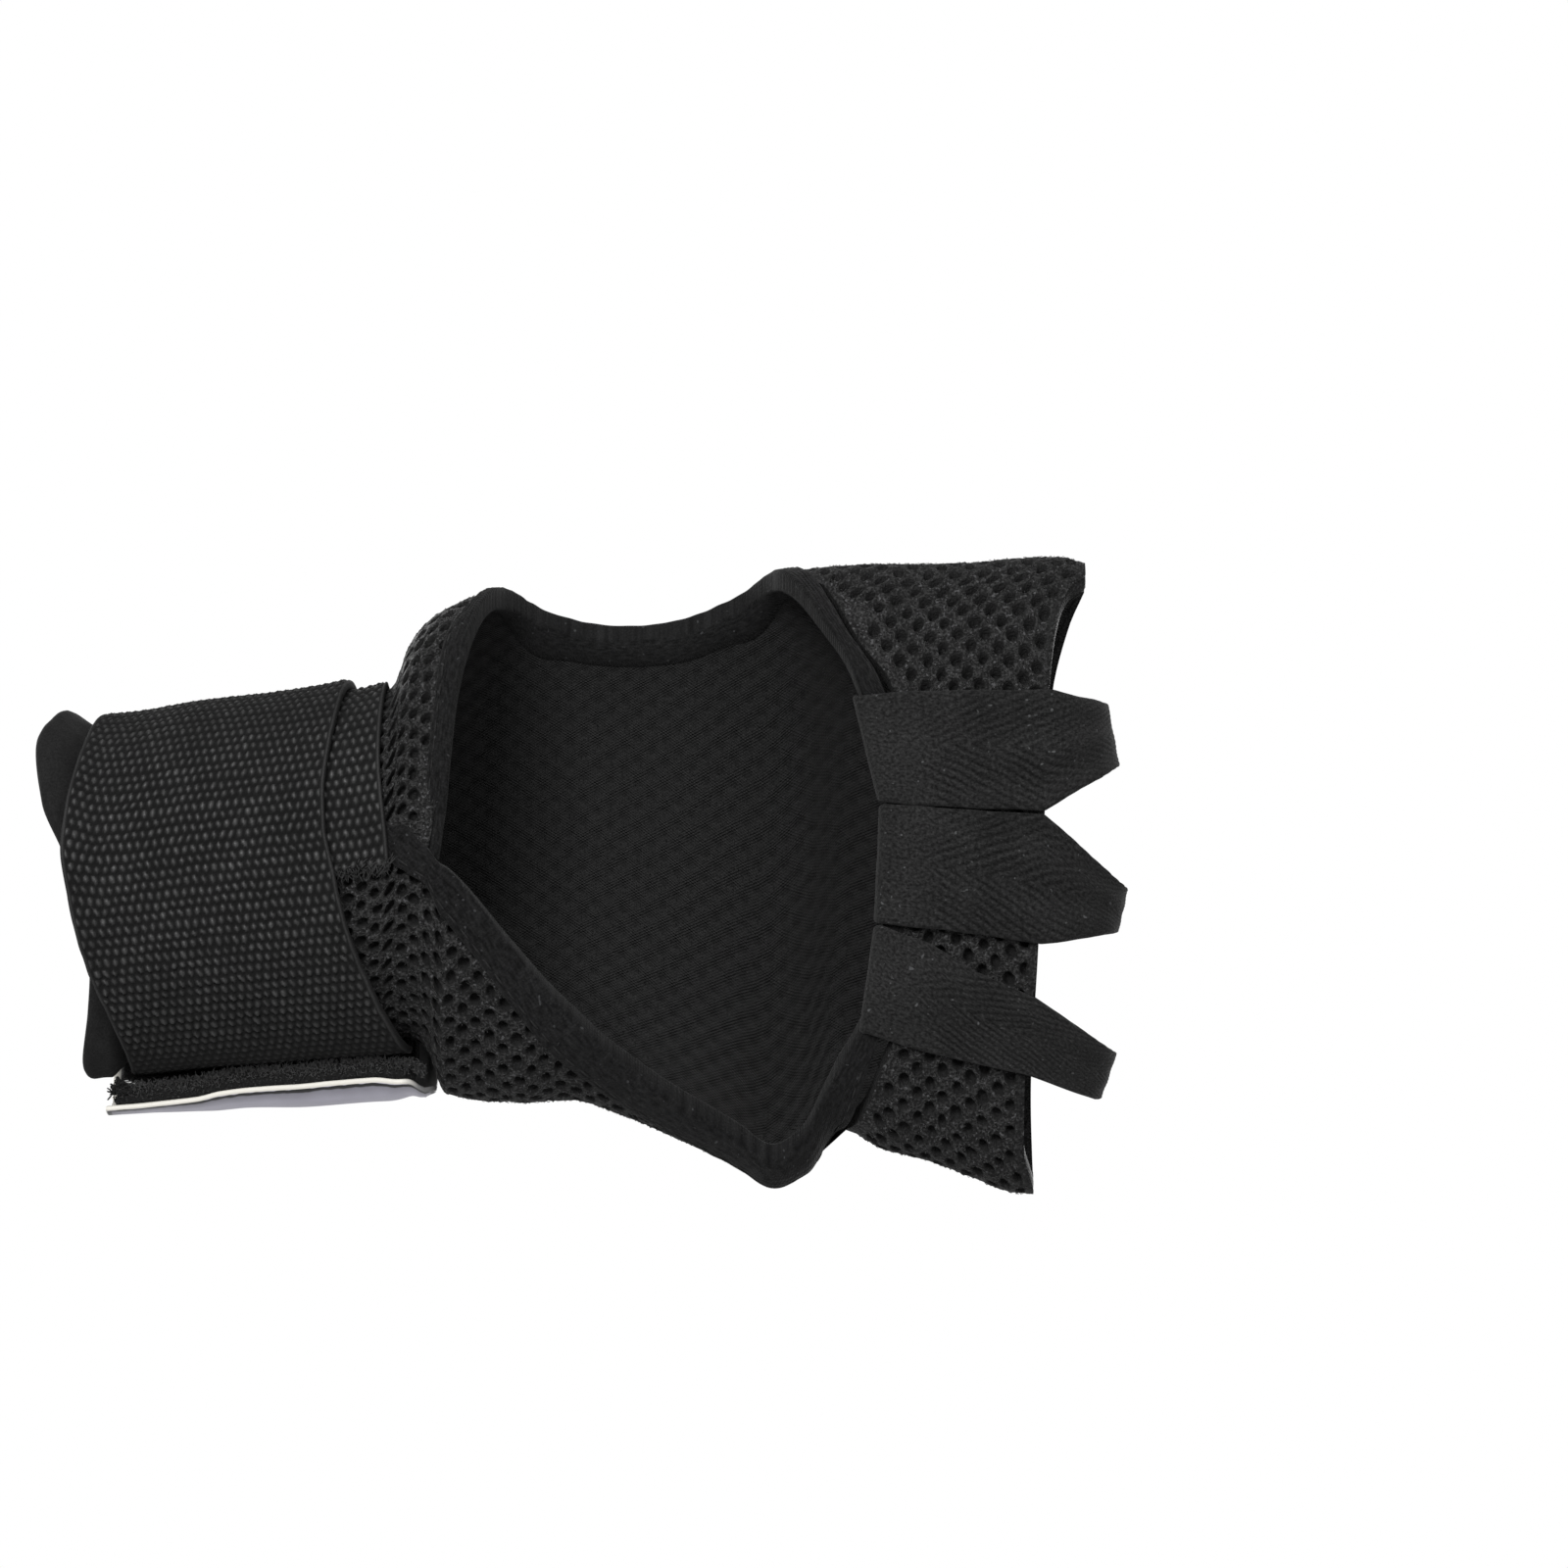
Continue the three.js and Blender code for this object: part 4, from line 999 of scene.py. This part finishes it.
# %% [markdown]
# ## The finger tapes
# Three strips of herringbone tape are sewn to the palm, go between the fingers and are sewn to the back of
# the glove. Pulled tight, they narrow at the web, and their chevrons open there into ridges that are really
# visible, so the ridges are in the mesh. A tape is a grid in its own length and width. Its palm edge curls
# down over the binding, the fold between the fingers is half an ellipse, and the last stretch lies on the
# back.

# %% Finger tape table
TAPES = {  # x and z of the lower edge, x and z of the upper edge, in mm: the palm's rows, the fold, the hem
    "index_middle_tape": [
        (98.9, 13.0, 95.0, 29.0), (106.5, 12.6, 105.0, 29.6), (115.0, 12.1, 115.0, 29.8),
        (123.9, 11.9, 125.0, 29.8), (134.6, 18.4, 132.8, 28.0), (104.0, 12.5, 104.0, 29.5),
    ],
    "middle_ring_tape": [
        (98.3, -5.2, 99.1, 12.4), (106.5, -6.0, 106.5, 12.0), (115.0, -7.1, 115.0, 11.4),
        (123.3, -8.4, 123.8, 10.9), (134.4, -7.0, 135.9, -0.3), (104.0, -6.2, 104.0, 11.6),
    ],
    "ring_pinky_tape": [
        (96.0, -22.0, 98.3, -5.9), (106.0, -24.9, 106.4, -8.6), (113.5, -26.7, 113.5, -12.9),
        (121.0, -28.3, 122.6, -17.0), (131.8, -32.4, 134.2, -25.4), (103.0, -24.4, 104.0, -8.4),
    ],
}
TAPE_THICK = 1.0 * MM
TAPE_PALM_LIFT = 1.0 * MM
TAPE_BACK_LIFT = 0.45 * MM
TAPE_WIDTH = 17.3 * MM
TAPE_GRID = (289, 65)
TAPE_OVER = 0.012  # of the width, its rounded edge on each side
TAPE_CURL = 3.4 * MM  # down over the binding
RIDGE_HIGH, FOLD_DEEP = 0.26 * MM, 0.30 * MM
RIDGE_PITCH = 1.2 * MM
RIDGE_SLOPE = np.radians(24)


def tape_surface(tape, run, across, height):
    """A point on a tape. run goes from -1 to 0 down the palm edge, to 1 at the palm's end, to 2 round the
    fold and to 3 at the hem. The fold reaches out with the sine of its turn, its depth with the cosine."""
    run, across, height = np.broadcast_arrays(run, across, height)
    tape = np.array(tape) * MM
    palm, fold, hem = tape[:-2], tape[-2], tape[-1]
    knots = np.linspace(0, 1, len(palm))
    edges = np.stack([np.interp(run, knots, palm[:, k]) for k in range(4)], axis=-1)
    edges = edges + np.clip(run - 2, 0, 1)[..., None] * (hem - palm[-1])
    turn = np.clip(run - 1, 0, 1) * np.pi
    curl = np.clip(-run, 0, 1) * np.pi / 2
    on_palm = turn < np.pi / 2
    low, high = edges[..., :2], edges[..., 2:]
    x, z = np.moveaxis(low + across[..., None] * (high - low), -1, 0)
    x = x + 0.9 * MM * np.clip(1 - run / 0.2, 0, 1) - (0.3 * MM + height) * np.sin(curl)
    lift = np.where(on_palm, TAPE_PALM_LIFT, TAPE_BACK_LIFT) + height - TAPE_CURL * (1 - np.cos(curl))
    depth = face(x, angle_at(x, z, on_palm), lift)[..., 1]
    middle = (palm_side(x) + back_side(x)) / 2
    low, high = (fold - palm[-1]).reshape(2, 2)
    reach = low + across[..., None] * (high - low)
    x = x + np.sin(turn) * (reach[..., 0] + height)
    z = z + np.sin(turn) * reach[..., 1]
    return np.stack([x, middle + (depth - middle) * np.abs(np.cos(turn)), z], axis=-1)


def herringbone(along, across):
    """Ridges from 0 to 1 that slant away from the tape's middle line: the root of a wave across them."""
    slant = along * np.sin(RIDGE_SLOPE) - np.abs(across) * np.cos(RIDGE_SLOPE)
    return np.sqrt(0.5 + 0.5 * np.cos(2 * np.pi * slant / RIDGE_PITCH))


def make_tape(name, tape, seed):
    """Both faces of one tape on a fine grid: its top carries the ridges, soft folds and rounded edges."""
    run = np.concatenate([np.linspace(-1, 0, 9)[:-1], np.linspace(0, 3, 232)])
    along = run_along(tape_surface(tape, run, 0.5, TAPE_THICK))
    even = np.linspace(0, along[-1], TAPE_GRID[0])[:, None]
    run = np.interp(even, along, run)
    across = np.linspace(-TAPE_OVER, 1 + TAPE_OVER, TAPE_GRID[1])
    flat_across = (across - 0.5) * TAPE_WIDTH
    opened = np.clip((run - 0.22) / 0.25, 0, 1) * (1 - 0.6 * np.clip((run - 1.02) / 0.14, 0, 1))
    patchy = 0.75 + 0.45 * ripple(even, flat_across, 9 * MM, seed + 3)
    shown = np.clip(0.2 + opened * patchy, 0, 1.1)
    centre = flat_across + 1.5 * MM * ripple(even, 0 * even, 40 * MM, seed)
    ridge = herringbone(even + 0.5 * MM * ripple(even, flat_across, 5 * MM, seed + 4), centre)
    ridges = RIDGE_HIGH * shown * ridge
    pulled = hill(run, 1, 0.35)
    folds = FOLD_DEEP * pulled * np.cos(2 * np.pi * (2.3 * across + 0.13 * seed)) - 0.1 * MM * pulled
    uneven = 0.07 * MM * ripple(even, flat_across, 6 * MM, seed + 1)
    to_edge = (np.minimum(across, 1 - across) + TAPE_OVER) * TAPE_WIDTH
    edge = 0.45 * MM * rounded(1 - to_edge / (0.7 * MM))
    wavy = across + 0.008 * ripple(even, 0 * even, 9 * MM, seed + 2) * (across - 0.5) * 2
    top = tape_surface(tape, run, wavy, TAPE_THICK - 0.06 * MM + ridges + folds + uneven - edge)
    under = tape_surface(tape, run, wavy, 0.04 * MM + folds)
    # Painted light and shade: ridge tops are painted lighter and grooves darker; the underside gets 0.8.
    light = (1 - shown * (1 - ridge)).ravel()
    values = {"ridge": np.concatenate([light, 0 * light + 0.8])}
    sheet = layered(top, under, grid_places(even, flat_across))
    return make_piece(name + "_cloth", *sheet, values=values), along[-1]


def herringbone_finish():
    finish = Finish("cotton_herringbone_tape", roughness=0.9, specular=0.06, sheen=0.05)
    tint = cotton(finish, 0.42 * MM, 0.7)
    # Painted light and shade from that value: darker in the grooves, lighter on the ridges' tops.
    shade = finish.ramp(finish.named("ridge"), (0.0, 0.42), (0.6, 0.95), (1.0, 1.25))
    finish.colour(finish.shaded(tint, shade))
    return finish.material


herringbone_tape = herringbone_finish()
for tape_number, (tape_name, tape_rows) in enumerate(TAPES.items()):
    tape_piece, tape_length = make_tape(tape_name, tape_rows, 30 + 5 * tape_number)
    dress(tape_piece, herringbone_tape, "herringbone_tape", tape_name)
    print(tape_name, "is cut", round(tape_length / MM, 1), "mm long")

# %% [markdown]
# ## The padded cuff
# The cuff is brushed knit over thin padding. Only its rim shows, where it swells out beside the strap. It is
# a closed ring whose section is a long oblong with a round rim, so it is a profile carried round the wrist.
# The strap squeezes it, which raises slow wrinkles that run towards the strap.

# %% Cuff finish and cuff
CUFF_RIM = np.array([  # degrees, x
    (-90, -20.2), (-45, -21.6), (0, -22.6), (50, -24), (90, -25.6), (125, -29.4), (150, -28.2),
    (168, -24.8), (185, -22.4), (205, -21), (222, -21.4), (245, -22.4), (270, -20.2),
]) * (1, MM)
CUFF_THICK = 3.2 * MM
CUFF_SWELLS = [(252, 24, 2.9), (-108, 24, 2.9), (92, 26, 1.0)]  # degrees, spread, height in mm
SWELLS_FROM = -15.3 * MM
WRIST_RADIUS = 26 * MM
CUFF_COLUMNS, CUFF_ROWS = 240, 30  # round the wrist, and along each of its faces


def cuff_finish():
    finish = Finish("brushed_cuff_knit", roughness=0.9, specular=0.05, sheen=0.04)
    tint = finish.clouds(7 * MM, (0.3, 0.0085), (0.7, 0.0125))
    nap = finish.noise(0.33 * MM, detail=4)
    finish.colour(finish.shaded(tint, finish.ramp(nap, (0.3, 0.75), (0.72, 1.4))))
    finish.bump(nap, 0.12 * MM)
    finish.bump(finish.noise(2.4 * MM, detail=1), 0.18 * MM)
    return finish.material


def make_cuff():
    """The cuff's section, in shares of the way from rim to mesh and lifts, carried round the wrist."""
    degrees = np.linspace(-90, 270, CUFF_COLUMNS, endpoint=False)
    rim = smooth_column(*CUFF_RIM.T)(degrees)
    half = CUFF_THICK / 2
    share = np.linspace(1, 0, CUFF_ROWS)
    turn = np.linspace(0, np.pi, 11)[1:-1]
    inset = np.concatenate([0 * share, -half * np.sin(turn), 0 * share])
    lift = np.concatenate([0 * share, half * np.cos(turn) - half, 0 * share - CUFF_THICK])[:, None]
    share = np.concatenate([share, 0 * turn, share[::-1]])[:, None]
    x = (rim + half) * (1 - share) + CUFF_END * share + inset[:, None]
    angle = np.radians(degrees)
    swell = sum(high * hill(degrees, at, spread) for at, spread, high in CUFF_SWELLS)
    lift = lift + swell * MM * np.clip((SWELLS_FROM - x) / (2.7 * MM), 0, 1)
    around = angle * WRIST_RADIUS
    wrinkles = ripple(x * 0.45, around, 9 * MM, 51) + 0.6 * ripple(x, around, 4 * MM, 52)
    points = face(x, angle, lift + 0.25 * MM * wrinkles)
    faces = [grid_faces(*points.shape[:2], torus=True)]
    points = points.reshape(-1, 3)
    return make_piece("padded_wrist_cuff", points, turned_out(points, faces), grid_places(x, around))


cuff = dress(make_cuff(), cuff_finish(), "cuff_knit", "wrist_cuff")

# %% [markdown]
# ## The woven elastic strap
# The strap is thick elastic webbing. Its weft floats over two cords at a time, so its face is rows of small
# shiny nubs, each row set half a nub on from the last, between two corded selvedges. They even make the
# strap's outline toothed, so they are real: the strap is a grid with five points to a nub along it and four
# across. The first turn shows only at its edge towards the fingers, so its covered part has no nubs.

# %% Strap finish
def strap_finish():
    finish = Finish("woven_elastic", roughness=0.5, specular=0.3)
    nub = finish.named("nub")
    # Painted highlight: the higher on a nub or a cord, the lighter the colour, near black between the nubs.
    tint = finish.ramp(nub, (0.0, 0.0015), (0.4, 0.005), (0.7, 0.014), (1.0, 0.035))
    tint = finish.shaded(tint, finish.clouds(7 * MM, (0.3, 0.75), (0.7, 1.25), detail=1))
    finish.put(finish.shader.inputs["Roughness"], finish.ramp(nub, (0.4, 1.0), (0.9, 0.4)))
    strands = finish.noise(0.3 * MM, detail=2)
    finish.colour(finish.shaded(tint, finish.ramp(strands, (0.3, 0.65), (0.7, 1.4))))
    finish.bump(strands, 0.10 * MM)
    return finish.material


woven_elastic = strap_finish()

# %% Strap
STRAP_WIDTH = 40 * MM
NUB_ROW = 1.62 * MM
NUB_ACROSS = 1.29 * MM
NUB_HIGH = 0.62 * MM
ODD_ROWS = 0.72  # of that height
# Where the strap's top and lower side turn from the light, nubs are flatter and their painted highlight
# dimmer.
FLATTER_DIMMER_NUBS = [(288, 20, 0.38), (442, 18, 0.16)]  # nubs are flatter: degrees of winding, how far round, how much
SELVEDGE = 0.8 * MM
CORD_PLACES = np.array([0, 0.16, 0.38, 0.6]) * MM  # the corded edge, from the strap's edge inwards
CORD_HIGH = np.array([-0.55, 0.05, 0.18, 0.02]) * MM
# How light the cords and the flat ground are painted: a painted highlight on the cords' tops.
CORD_PAINTED_SHINE = np.array([0.3, 0.62, 0.62, 0.4])
FLAT_PAINTED_SHINE = 0.2
NUB_POINTS = (5, 4)  # along and across
STRAP_AROUND = 0.45 * MM  # a degree of winding
TURN_JOINT = 278  # degrees of winding where the first turn is handed over to the second, beneath the tab
BARE = 29 * MM  # of the first turn's width is covered and has no nubs
STRAP_BASE = STRAP_THICK - 0.5 * MM
COVERED_END = 622  # degrees of winding: the cloth ends under the tab


def strap_turn(start, end, bare, seed):
    """One turn of the strap, between two angles of winding. A nub is a dome: the square root of what its oval
    leaves of one, and odd rows are shifted by half a nub. Each nub has its own size, height and lean."""
    turns = np.linspace(start, end, 1500)
    run = run_along(on_winding(turns, band_middle(turns), STRAP_THICK))
    nub_rows = round(run[-1] / NUB_ROW)
    long_points, wide_points = NUB_POINTS
    row = np.arange(long_points * nub_rows + 1)[:, None]
    wound = np.interp(row / row[-1], run / run[-1], turns)

    nubs_wide = round((STRAP_WIDTH - 2 * SELVEDGE - bare) / NUB_ACROSS)
    woven = np.linspace(SELVEDGE + bare, STRAP_WIDTH - SELVEDGE, wide_points * nubs_wide + 1)
    plain = np.linspace(SELVEDGE, SELVEDGE + bare, 9)[:-1] if bare else np.empty(0)
    across = np.concatenate([CORD_PLACES, plain, woven, STRAP_WIDTH - CORD_PLACES[::-1]])

    draw = np.random.default_rng(seed)
    number = row // long_points
    shifted = np.arange(len(woven)) + 2 * (number % 2)
    nubs = (nub_rows + 1, nubs_wide + 2)
    size, long, wide, lean = (
        draw.normal(middle, spread, nubs)[number, shifted // wide_points]
        for middle, spread in ((0.9, 0.06), (1.0, 0.07), (0.72, 0.05), (0.06, 0.13))
    )
    along = (row % long_points) * 2 / long_points - 1
    beside = (shifted % wide_points) * 2 / wide_points - 1
    oval = (along / long) ** 2 + ((beside + lean * along) / wide) ** 2
    raised = np.clip(size, 0, 1) * np.sqrt(np.clip(1 - oval, 0, 1))
    # Flatter nubs where the strap turns from the light, and so a dimmer painted highlight.
    for middle, spread, share in FLATTER_DIMMER_NUBS:
        raised = raised * (1 - share * hill(wound, middle, spread))
    woven_high = NUB_HIGH * raised * np.where(number % 2, ODD_ROWS, 1)
    high, painted_shine = (
        np.concatenate([np.broadcast_to(part, (len(row), part.shape[-1])) for part in parts], axis=1)
        for parts in (
            (CORD_HIGH, 0 * plain, woven_high, CORD_HIGH[::-1]),
            (CORD_PAINTED_SHINE, 0 * plain + FLAT_PAINTED_SHINE, raised, CORD_PAINTED_SHINE[::-1]),
        )
    )

    x = band_middle(wound) + band_half(wound) * (2 * across / STRAP_WIDTH - 1)
    wound = wound + 0.5 * ripple(wound * STRAP_AROUND, x, 5 * MM, seed + 2)
    slack = 0.10 * MM * ripple(wound * STRAP_AROUND, x, 17 * MM, seed + 1)
    top = on_winding(wound, x, STRAP_BASE + high + slack)
    under = on_winding(wound, x, 0)
    sheet = layered(top, under, grid_places(row / long_points * NUB_ROW, across), NUB_POINTS)
    painted_shine = np.concatenate([painted_shine.ravel(), np.full(len(sheet[0]) - painted_shine.size, FLAT_PAINTED_SHINE)])
    print("turn of", round(run[-1] / MM), "mm with", nub_rows * nubs_wide, "nubs")
    return (*sheet, painted_shine), run[-1]


first_turn, first_length = strap_turn(0, TURN_JOINT, BARE, 61)
second_turn, second_length = strap_turn(TURN_JOINT, COVERED_END, 0, 71)
# The named value "nub" carries each point's painted shine.
*cloth, nubs = joined(first_turn, second_turn)
strap = make_piece("woven_wrist_strap", *cloth, values={"nub": nubs})
dress(strap, woven_elastic, "woven_elastic", "wrist_strap")

# %% [markdown]
# The strap's first end is sewn to the mesh on the palm. Its cut threads fray there, beside the second turn's
# edge.

# %% Frayed end of the strap
FRAYED = 190
elastic_thread = thread_finish("elastic_thread", 0.03, 0.5)


def make_frayed_end():
    """Threads that leave the strap's end and lie down on the mesh in different directions."""
    draw = np.random.default_rng(81)
    x = np.where(draw.random(FRAYED) < 0.15, 24.0, draw.uniform(15.5, 24.8, FRAYED)) * MM
    wound = draw.uniform(-1.0, 1.6, FRAYED)
    starts = on_winding(wound, x, draw.uniform(0.3, 1.5, FRAYED) * MM)
    lying = on_winding(
        wound - draw.uniform(0.4, 2.6, FRAYED) * draw.choice([1, 1, -0.5], FRAYED),
        x + draw.normal(0, 0.7, FRAYED) * MM,
        draw.uniform(0.2, 1.4, FRAYED) * MM,
    )
    normals = unit(on_winding(wound, x, 5 * MM) - on_winding(wound, x, 0))
    arch = draw.uniform(0.1, 0.6, FRAYED) * MM
    return make_piece("strap_frayed_end", *threads(starts, lying, normals, 0.08 * MM, arch, sides=4))


dress(make_frayed_end(), elastic_thread, "woven_elastic")

# %% [markdown]
# ## The closure tab
# A stiff tab of hook tape presses on the strap's end below the little finger's side. A moulded plate covers
# it: its side is off-white, a thin black line borders its face, and the face is plain grey, painted darker as
# shade in a band about two millimetres wide inside the line. Both are closed plates whose edge rounds over,
# worked out from the distance to the nearest edge. The corner towards the fingers is rounded.

# %% Tab plates
TAB_FROM, TAB_TO = 574, 644
TAB_LEFT, TAB_RIGHT = -19 * MM, 31.2 * MM
TAB_REST = 29.6 * MM  # beyond this, the tab stands straight out over the mesh
TAB_THICK = 2.25 * MM
TAB_LIP = 0.45 * MM
PATCH_THICK = 0.85 * MM
TAB_SHAPE = np.array([  # x, how much lower the front edge lies, how far the plate bulges behind it
    (-19, 0.75, 0.0), (-12.7, 1.0, 0.2), (-9.7, 0.95, 0.45), (-5.2, 0.75, 0.85), (-1.5, 0.12, 1.65),
    (2.2, -0.02, 1.75), (9.7, 0.05, 2.15), (15.7, -0.2, 2.4), (21.6, -0.25, 2.4), (26.1, 0.33, 1.6),
    (28.4, 0.32, 0.8), (29.9, -0.3, 0.2), (31.2, -0.65, 0.0),
]) * MM
tab_front, tab_bulge = smooth_columns(TAB_SHAPE)
TAB_BED = STRAP_THICK + GAP + 0.15 * MM
TAB_CORNER = 5 * MM
PLATE_GRID = (57, 97)  # closer together at the edges
EDGE_THICK = 0.25  # of its thickness is left at a plate's edge
DEGREES_PER_MM = 2.45  # of winding, on the tab
TAB_AROUND = 0.4 * MM  # roughly a degree of winding there, for slow waves
LAVENDER, OFF_WHITE = np.array([0.40, 0.39, 0.46]), np.array([0.60, 0.58, 0.53])


def on_tab(wound, x, height):
    """A place on the tab. It follows the wrist up to where it rests, its front edge lies higher or lower
    along x, and behind the edge it bulges with the sine of the share's square."""
    share = np.clip((wound - TAB_FROM) / (TAB_TO - TAB_FROM), 0, 1)
    shape = tab_front(x) + tab_bulge(x) * np.sin(np.pi * share**2)
    points = on_winding(wound, np.minimum(x, TAB_REST), height + shape)
    points[..., 0] = x
    return points


def make_plate(name, low, thick, left, right, roll, lip):
    """A plate on the second turn. Its thickness shrinks over the last roll of the way to its edge like a
    quarter circle, its front edge draws back round the corner, and its lip reaches down to the strap."""
    share, wide = ((1 - np.cos(np.linspace(0, np.pi, count))) / 2 for count in PLATE_GRID)
    x = left + (right - left) * wide
    front = TAB_TO - TAB_CORNER * 0.6 * rounded((x - (right - TAB_CORNER)) / TAB_CORNER) / MM * DEGREES_PER_MM
    wound = TAB_FROM + (front - TAB_FROM) * share[:, None]
    long = (front - TAB_FROM) / DEGREES_PER_MM * MM
    sides, ends = np.minimum(share, 1 - share)[:, None] * long, np.minimum(wide, 1 - wide) * (right - left)
    to_edge = np.minimum(sides, ends)
    rounding = 1 - (1 - EDGE_THICK) * rounded(1 - to_edge / roll)
    around = wound * TAB_AROUND
    lively = 0.12 * MM * ripple(x, around, 11 * MM, 91)
    at_front = np.clip((wound - front + 8) / 5, 0, 1)
    reach = lip * at_front * (1 - 3 * np.clip(1 - (x - left) / (3.5 * MM), 0, 1))
    top = on_tab(wound, x, low + thick / 2 * (1 + rounding) + lively)
    under = on_tab(wound, x, low + thick / 2 * (1 - rounding) + lively - reach)
    tip = np.clip((x - 26 * MM) / (2.5 * MM), 0, 1) + 0 * share[:, None]
    inner = np.maximum(tip, np.clip(to_edge / MM - 0.6, 0, 1))
    values = {"border": np.stack([to_edge / MM, 0 * to_edge]), "dark": np.stack([tip, inner])}
    return make_piece(name, *layered(top, under, grid_places(x, around)), values=values)


def hook_finish():
    finish = Finish("black_hook_tape", roughness=0.8, specular=0.1, sheen=0.05)
    fuzz = finish.noise(0.3 * MM, detail=4)
    finish.colour(finish.ramp(fuzz, (0.35, 0.004), (0.62, 0.012), (0.75, 0.08)))
    finish.bump(fuzz, 0.5 * MM)
    return finish.material


def patch_finish():
    finish = Finish("moulded_patch", roughness=0.42, specular=0.4)
    tint = finish.clouds(5 * MM, (0.3, LAVENDER), (0.7, 1.12 * LAVENDER), detail=2)
    border = finish.named("border")
    uneven = finish.maths("MULTIPLY_ADD", finish.noise(1.6 * MM, detail=1), 0.5, border)
    quarter = finish.product(uneven, 0.25)
    # The black line is print; inside it the face is painted darker as shade, fading out over about two
    # millimetres.
    print_and_painted_shade = finish.ramp(quarter, (0.11, 0.0), (0.12, 1.0), (0.25, 1.0), (0.3, 0.45), (0.8, 0.0))
    tint = finish.mixed(print_and_painted_shade, tint, (0.006, 0.006, 0.007, 1))
    pale = finish.ramp(finish.named("dark"), (0.0, OFF_WHITE), (1.0, 0.11))
    finish.colour(finish.mixed(finish.ramp(border, (0.16, 1.0), (0.20, 0.0)), tint, pale))
    finish.bump(finish.noise(0.25 * MM, detail=2), 0.03 * MM)
    return finish.material


hook_left, hook_right = TAB_LEFT + 1.3 * MM, TAB_RIGHT - 3 * MM
tab = make_plate("hook_closure_tab", TAB_BED, TAB_THICK, hook_left, hook_right, 0.7 * MM, TAB_LIP)
dress(tab, hook_finish(), "hook_tape", "closure_tab")
patch_low = TAB_BED + TAB_THICK + 0.1 * MM
patch = make_plate("moulded_tab_patch", patch_low, PATCH_THICK, TAB_LEFT, TAB_RIGHT, 0.3 * MM, 0)
dress(patch, patch_finish(), "moulded_patch", "tab_patch")

# %% [markdown]
# The hook tape's edge is fuzzy: small bent hooks and torn loops stand out of it. They are threads again, many
# and short along the edge towards the palm, and fewer and longer at the cut end beside the cuff.

# %% Hooks and torn loops
HOOKS = 2600
TORN = 220
HIGHLIGHT_LOOPS = 5


def make_hooks():
    """Threads out of the tab's front edge, most of them near the strap."""
    draw = np.random.default_rng(101)
    x = draw.uniform(TAB_LEFT + MM, TAB_RIGHT - 1.5 * MM, HOOKS)
    wound = TAB_TO - draw.uniform(0, 1.5, HOOKS)
    high = TAB_BED - TAB_LIP - 0.25 * MM + (TAB_LIP + 0.9 * TAB_THICK) * draw.beta(1.0, 2.2, HOOKS)
    starts = on_tab(wound, x, high)
    x_end = x + draw.normal(0, 0.3, HOOKS) * MM
    ends = on_tab(wound + draw.uniform(0.6, 2.6, HOOKS), x_end, high + draw.normal(-0.05, 0.3, HOOKS) * MM)
    normals = draw.normal(0, 1, starts.shape)
    arch = draw.uniform(0.05, 0.3, HOOKS) * MM
    return make_piece("tab_hooks", *threads(starts, ends, normals, 0.075 * MM, arch, sides=3, joints=4))


def make_tuft(name, count, inwards, reach, heights, radius, seed):
    """A tangle of torn threads at the tab's left end. The ranges, in mm, are how far in from that end they
    start, how far along the edge they reach and how high on the tab they lie."""
    draw = np.random.default_rng(seed)
    x = TAB_LEFT + draw.uniform(*inwards, count) * MM
    high = TAB_BED + draw.uniform(*heights, count) * MM
    starts = on_tab(TAB_TO + draw.uniform(-1, 1, count), x, high)
    x_end = x + draw.uniform(*reach, count) * MM
    ends = on_tab(TAB_TO + draw.uniform(0.5, 2.5, count), x_end, high + draw.normal(0, 0.25, count) * MM)
    normals = draw.normal(0, 1, starts.shape)
    return make_piece(name, *threads(starts, ends, normals, radius, draw.uniform(0.2, 0.6, count) * MM))


dress(make_hooks(), thread_finish("hook_thread", 0.06, 0.5), "hook_tape")
tuft = make_tuft("tab_tuft", TORN, (1.2, 3.2), (-1, 1), (-0.9, 0.6), 0.12 * MM, 102)
dress(tuft, sewing_thread, "hook_tape")
# A few pale loops among the torn threads are painted highlights of the tangle.
painted_highlight_loops = make_tuft("tab_painted_highlight_loops", HIGHLIGHT_LOOPS, (1.0, 1.5), (2.3, 3.1), (-0.7, -0.3), 0.12 * MM, 103)
dress(painted_highlight_loops, thread_finish("painted_highlight_thread", 0.5, 0.6), "hook_tape")

# %% [markdown]
# ## Floor
# The floor goes in last.

# %% Floor and finish
def make_floor():
    """A level square below the glove, in pale paper."""
    side = FLOOR_SIDE / 2
    level = cad_low.z - FLOOR_BELOW
    mesh = bpy.data.meshes.new("studio_floor")
    corners = [(-side, -side, level), (side, -side, level), (side, side, level), (-side, side, level)]
    mesh.from_pydata(corners, [], [(0, 1, 2, 3)])
    paper = Finish("pale_paper", roughness=0.9, specular=0.1)
    paper.colour(paper.clouds(0.4, (0.2, 0.50), (0.8, 0.53), detail=1))
    mesh.materials.append(paper.material)
    placed("studio_floor", mesh)


make_floor()
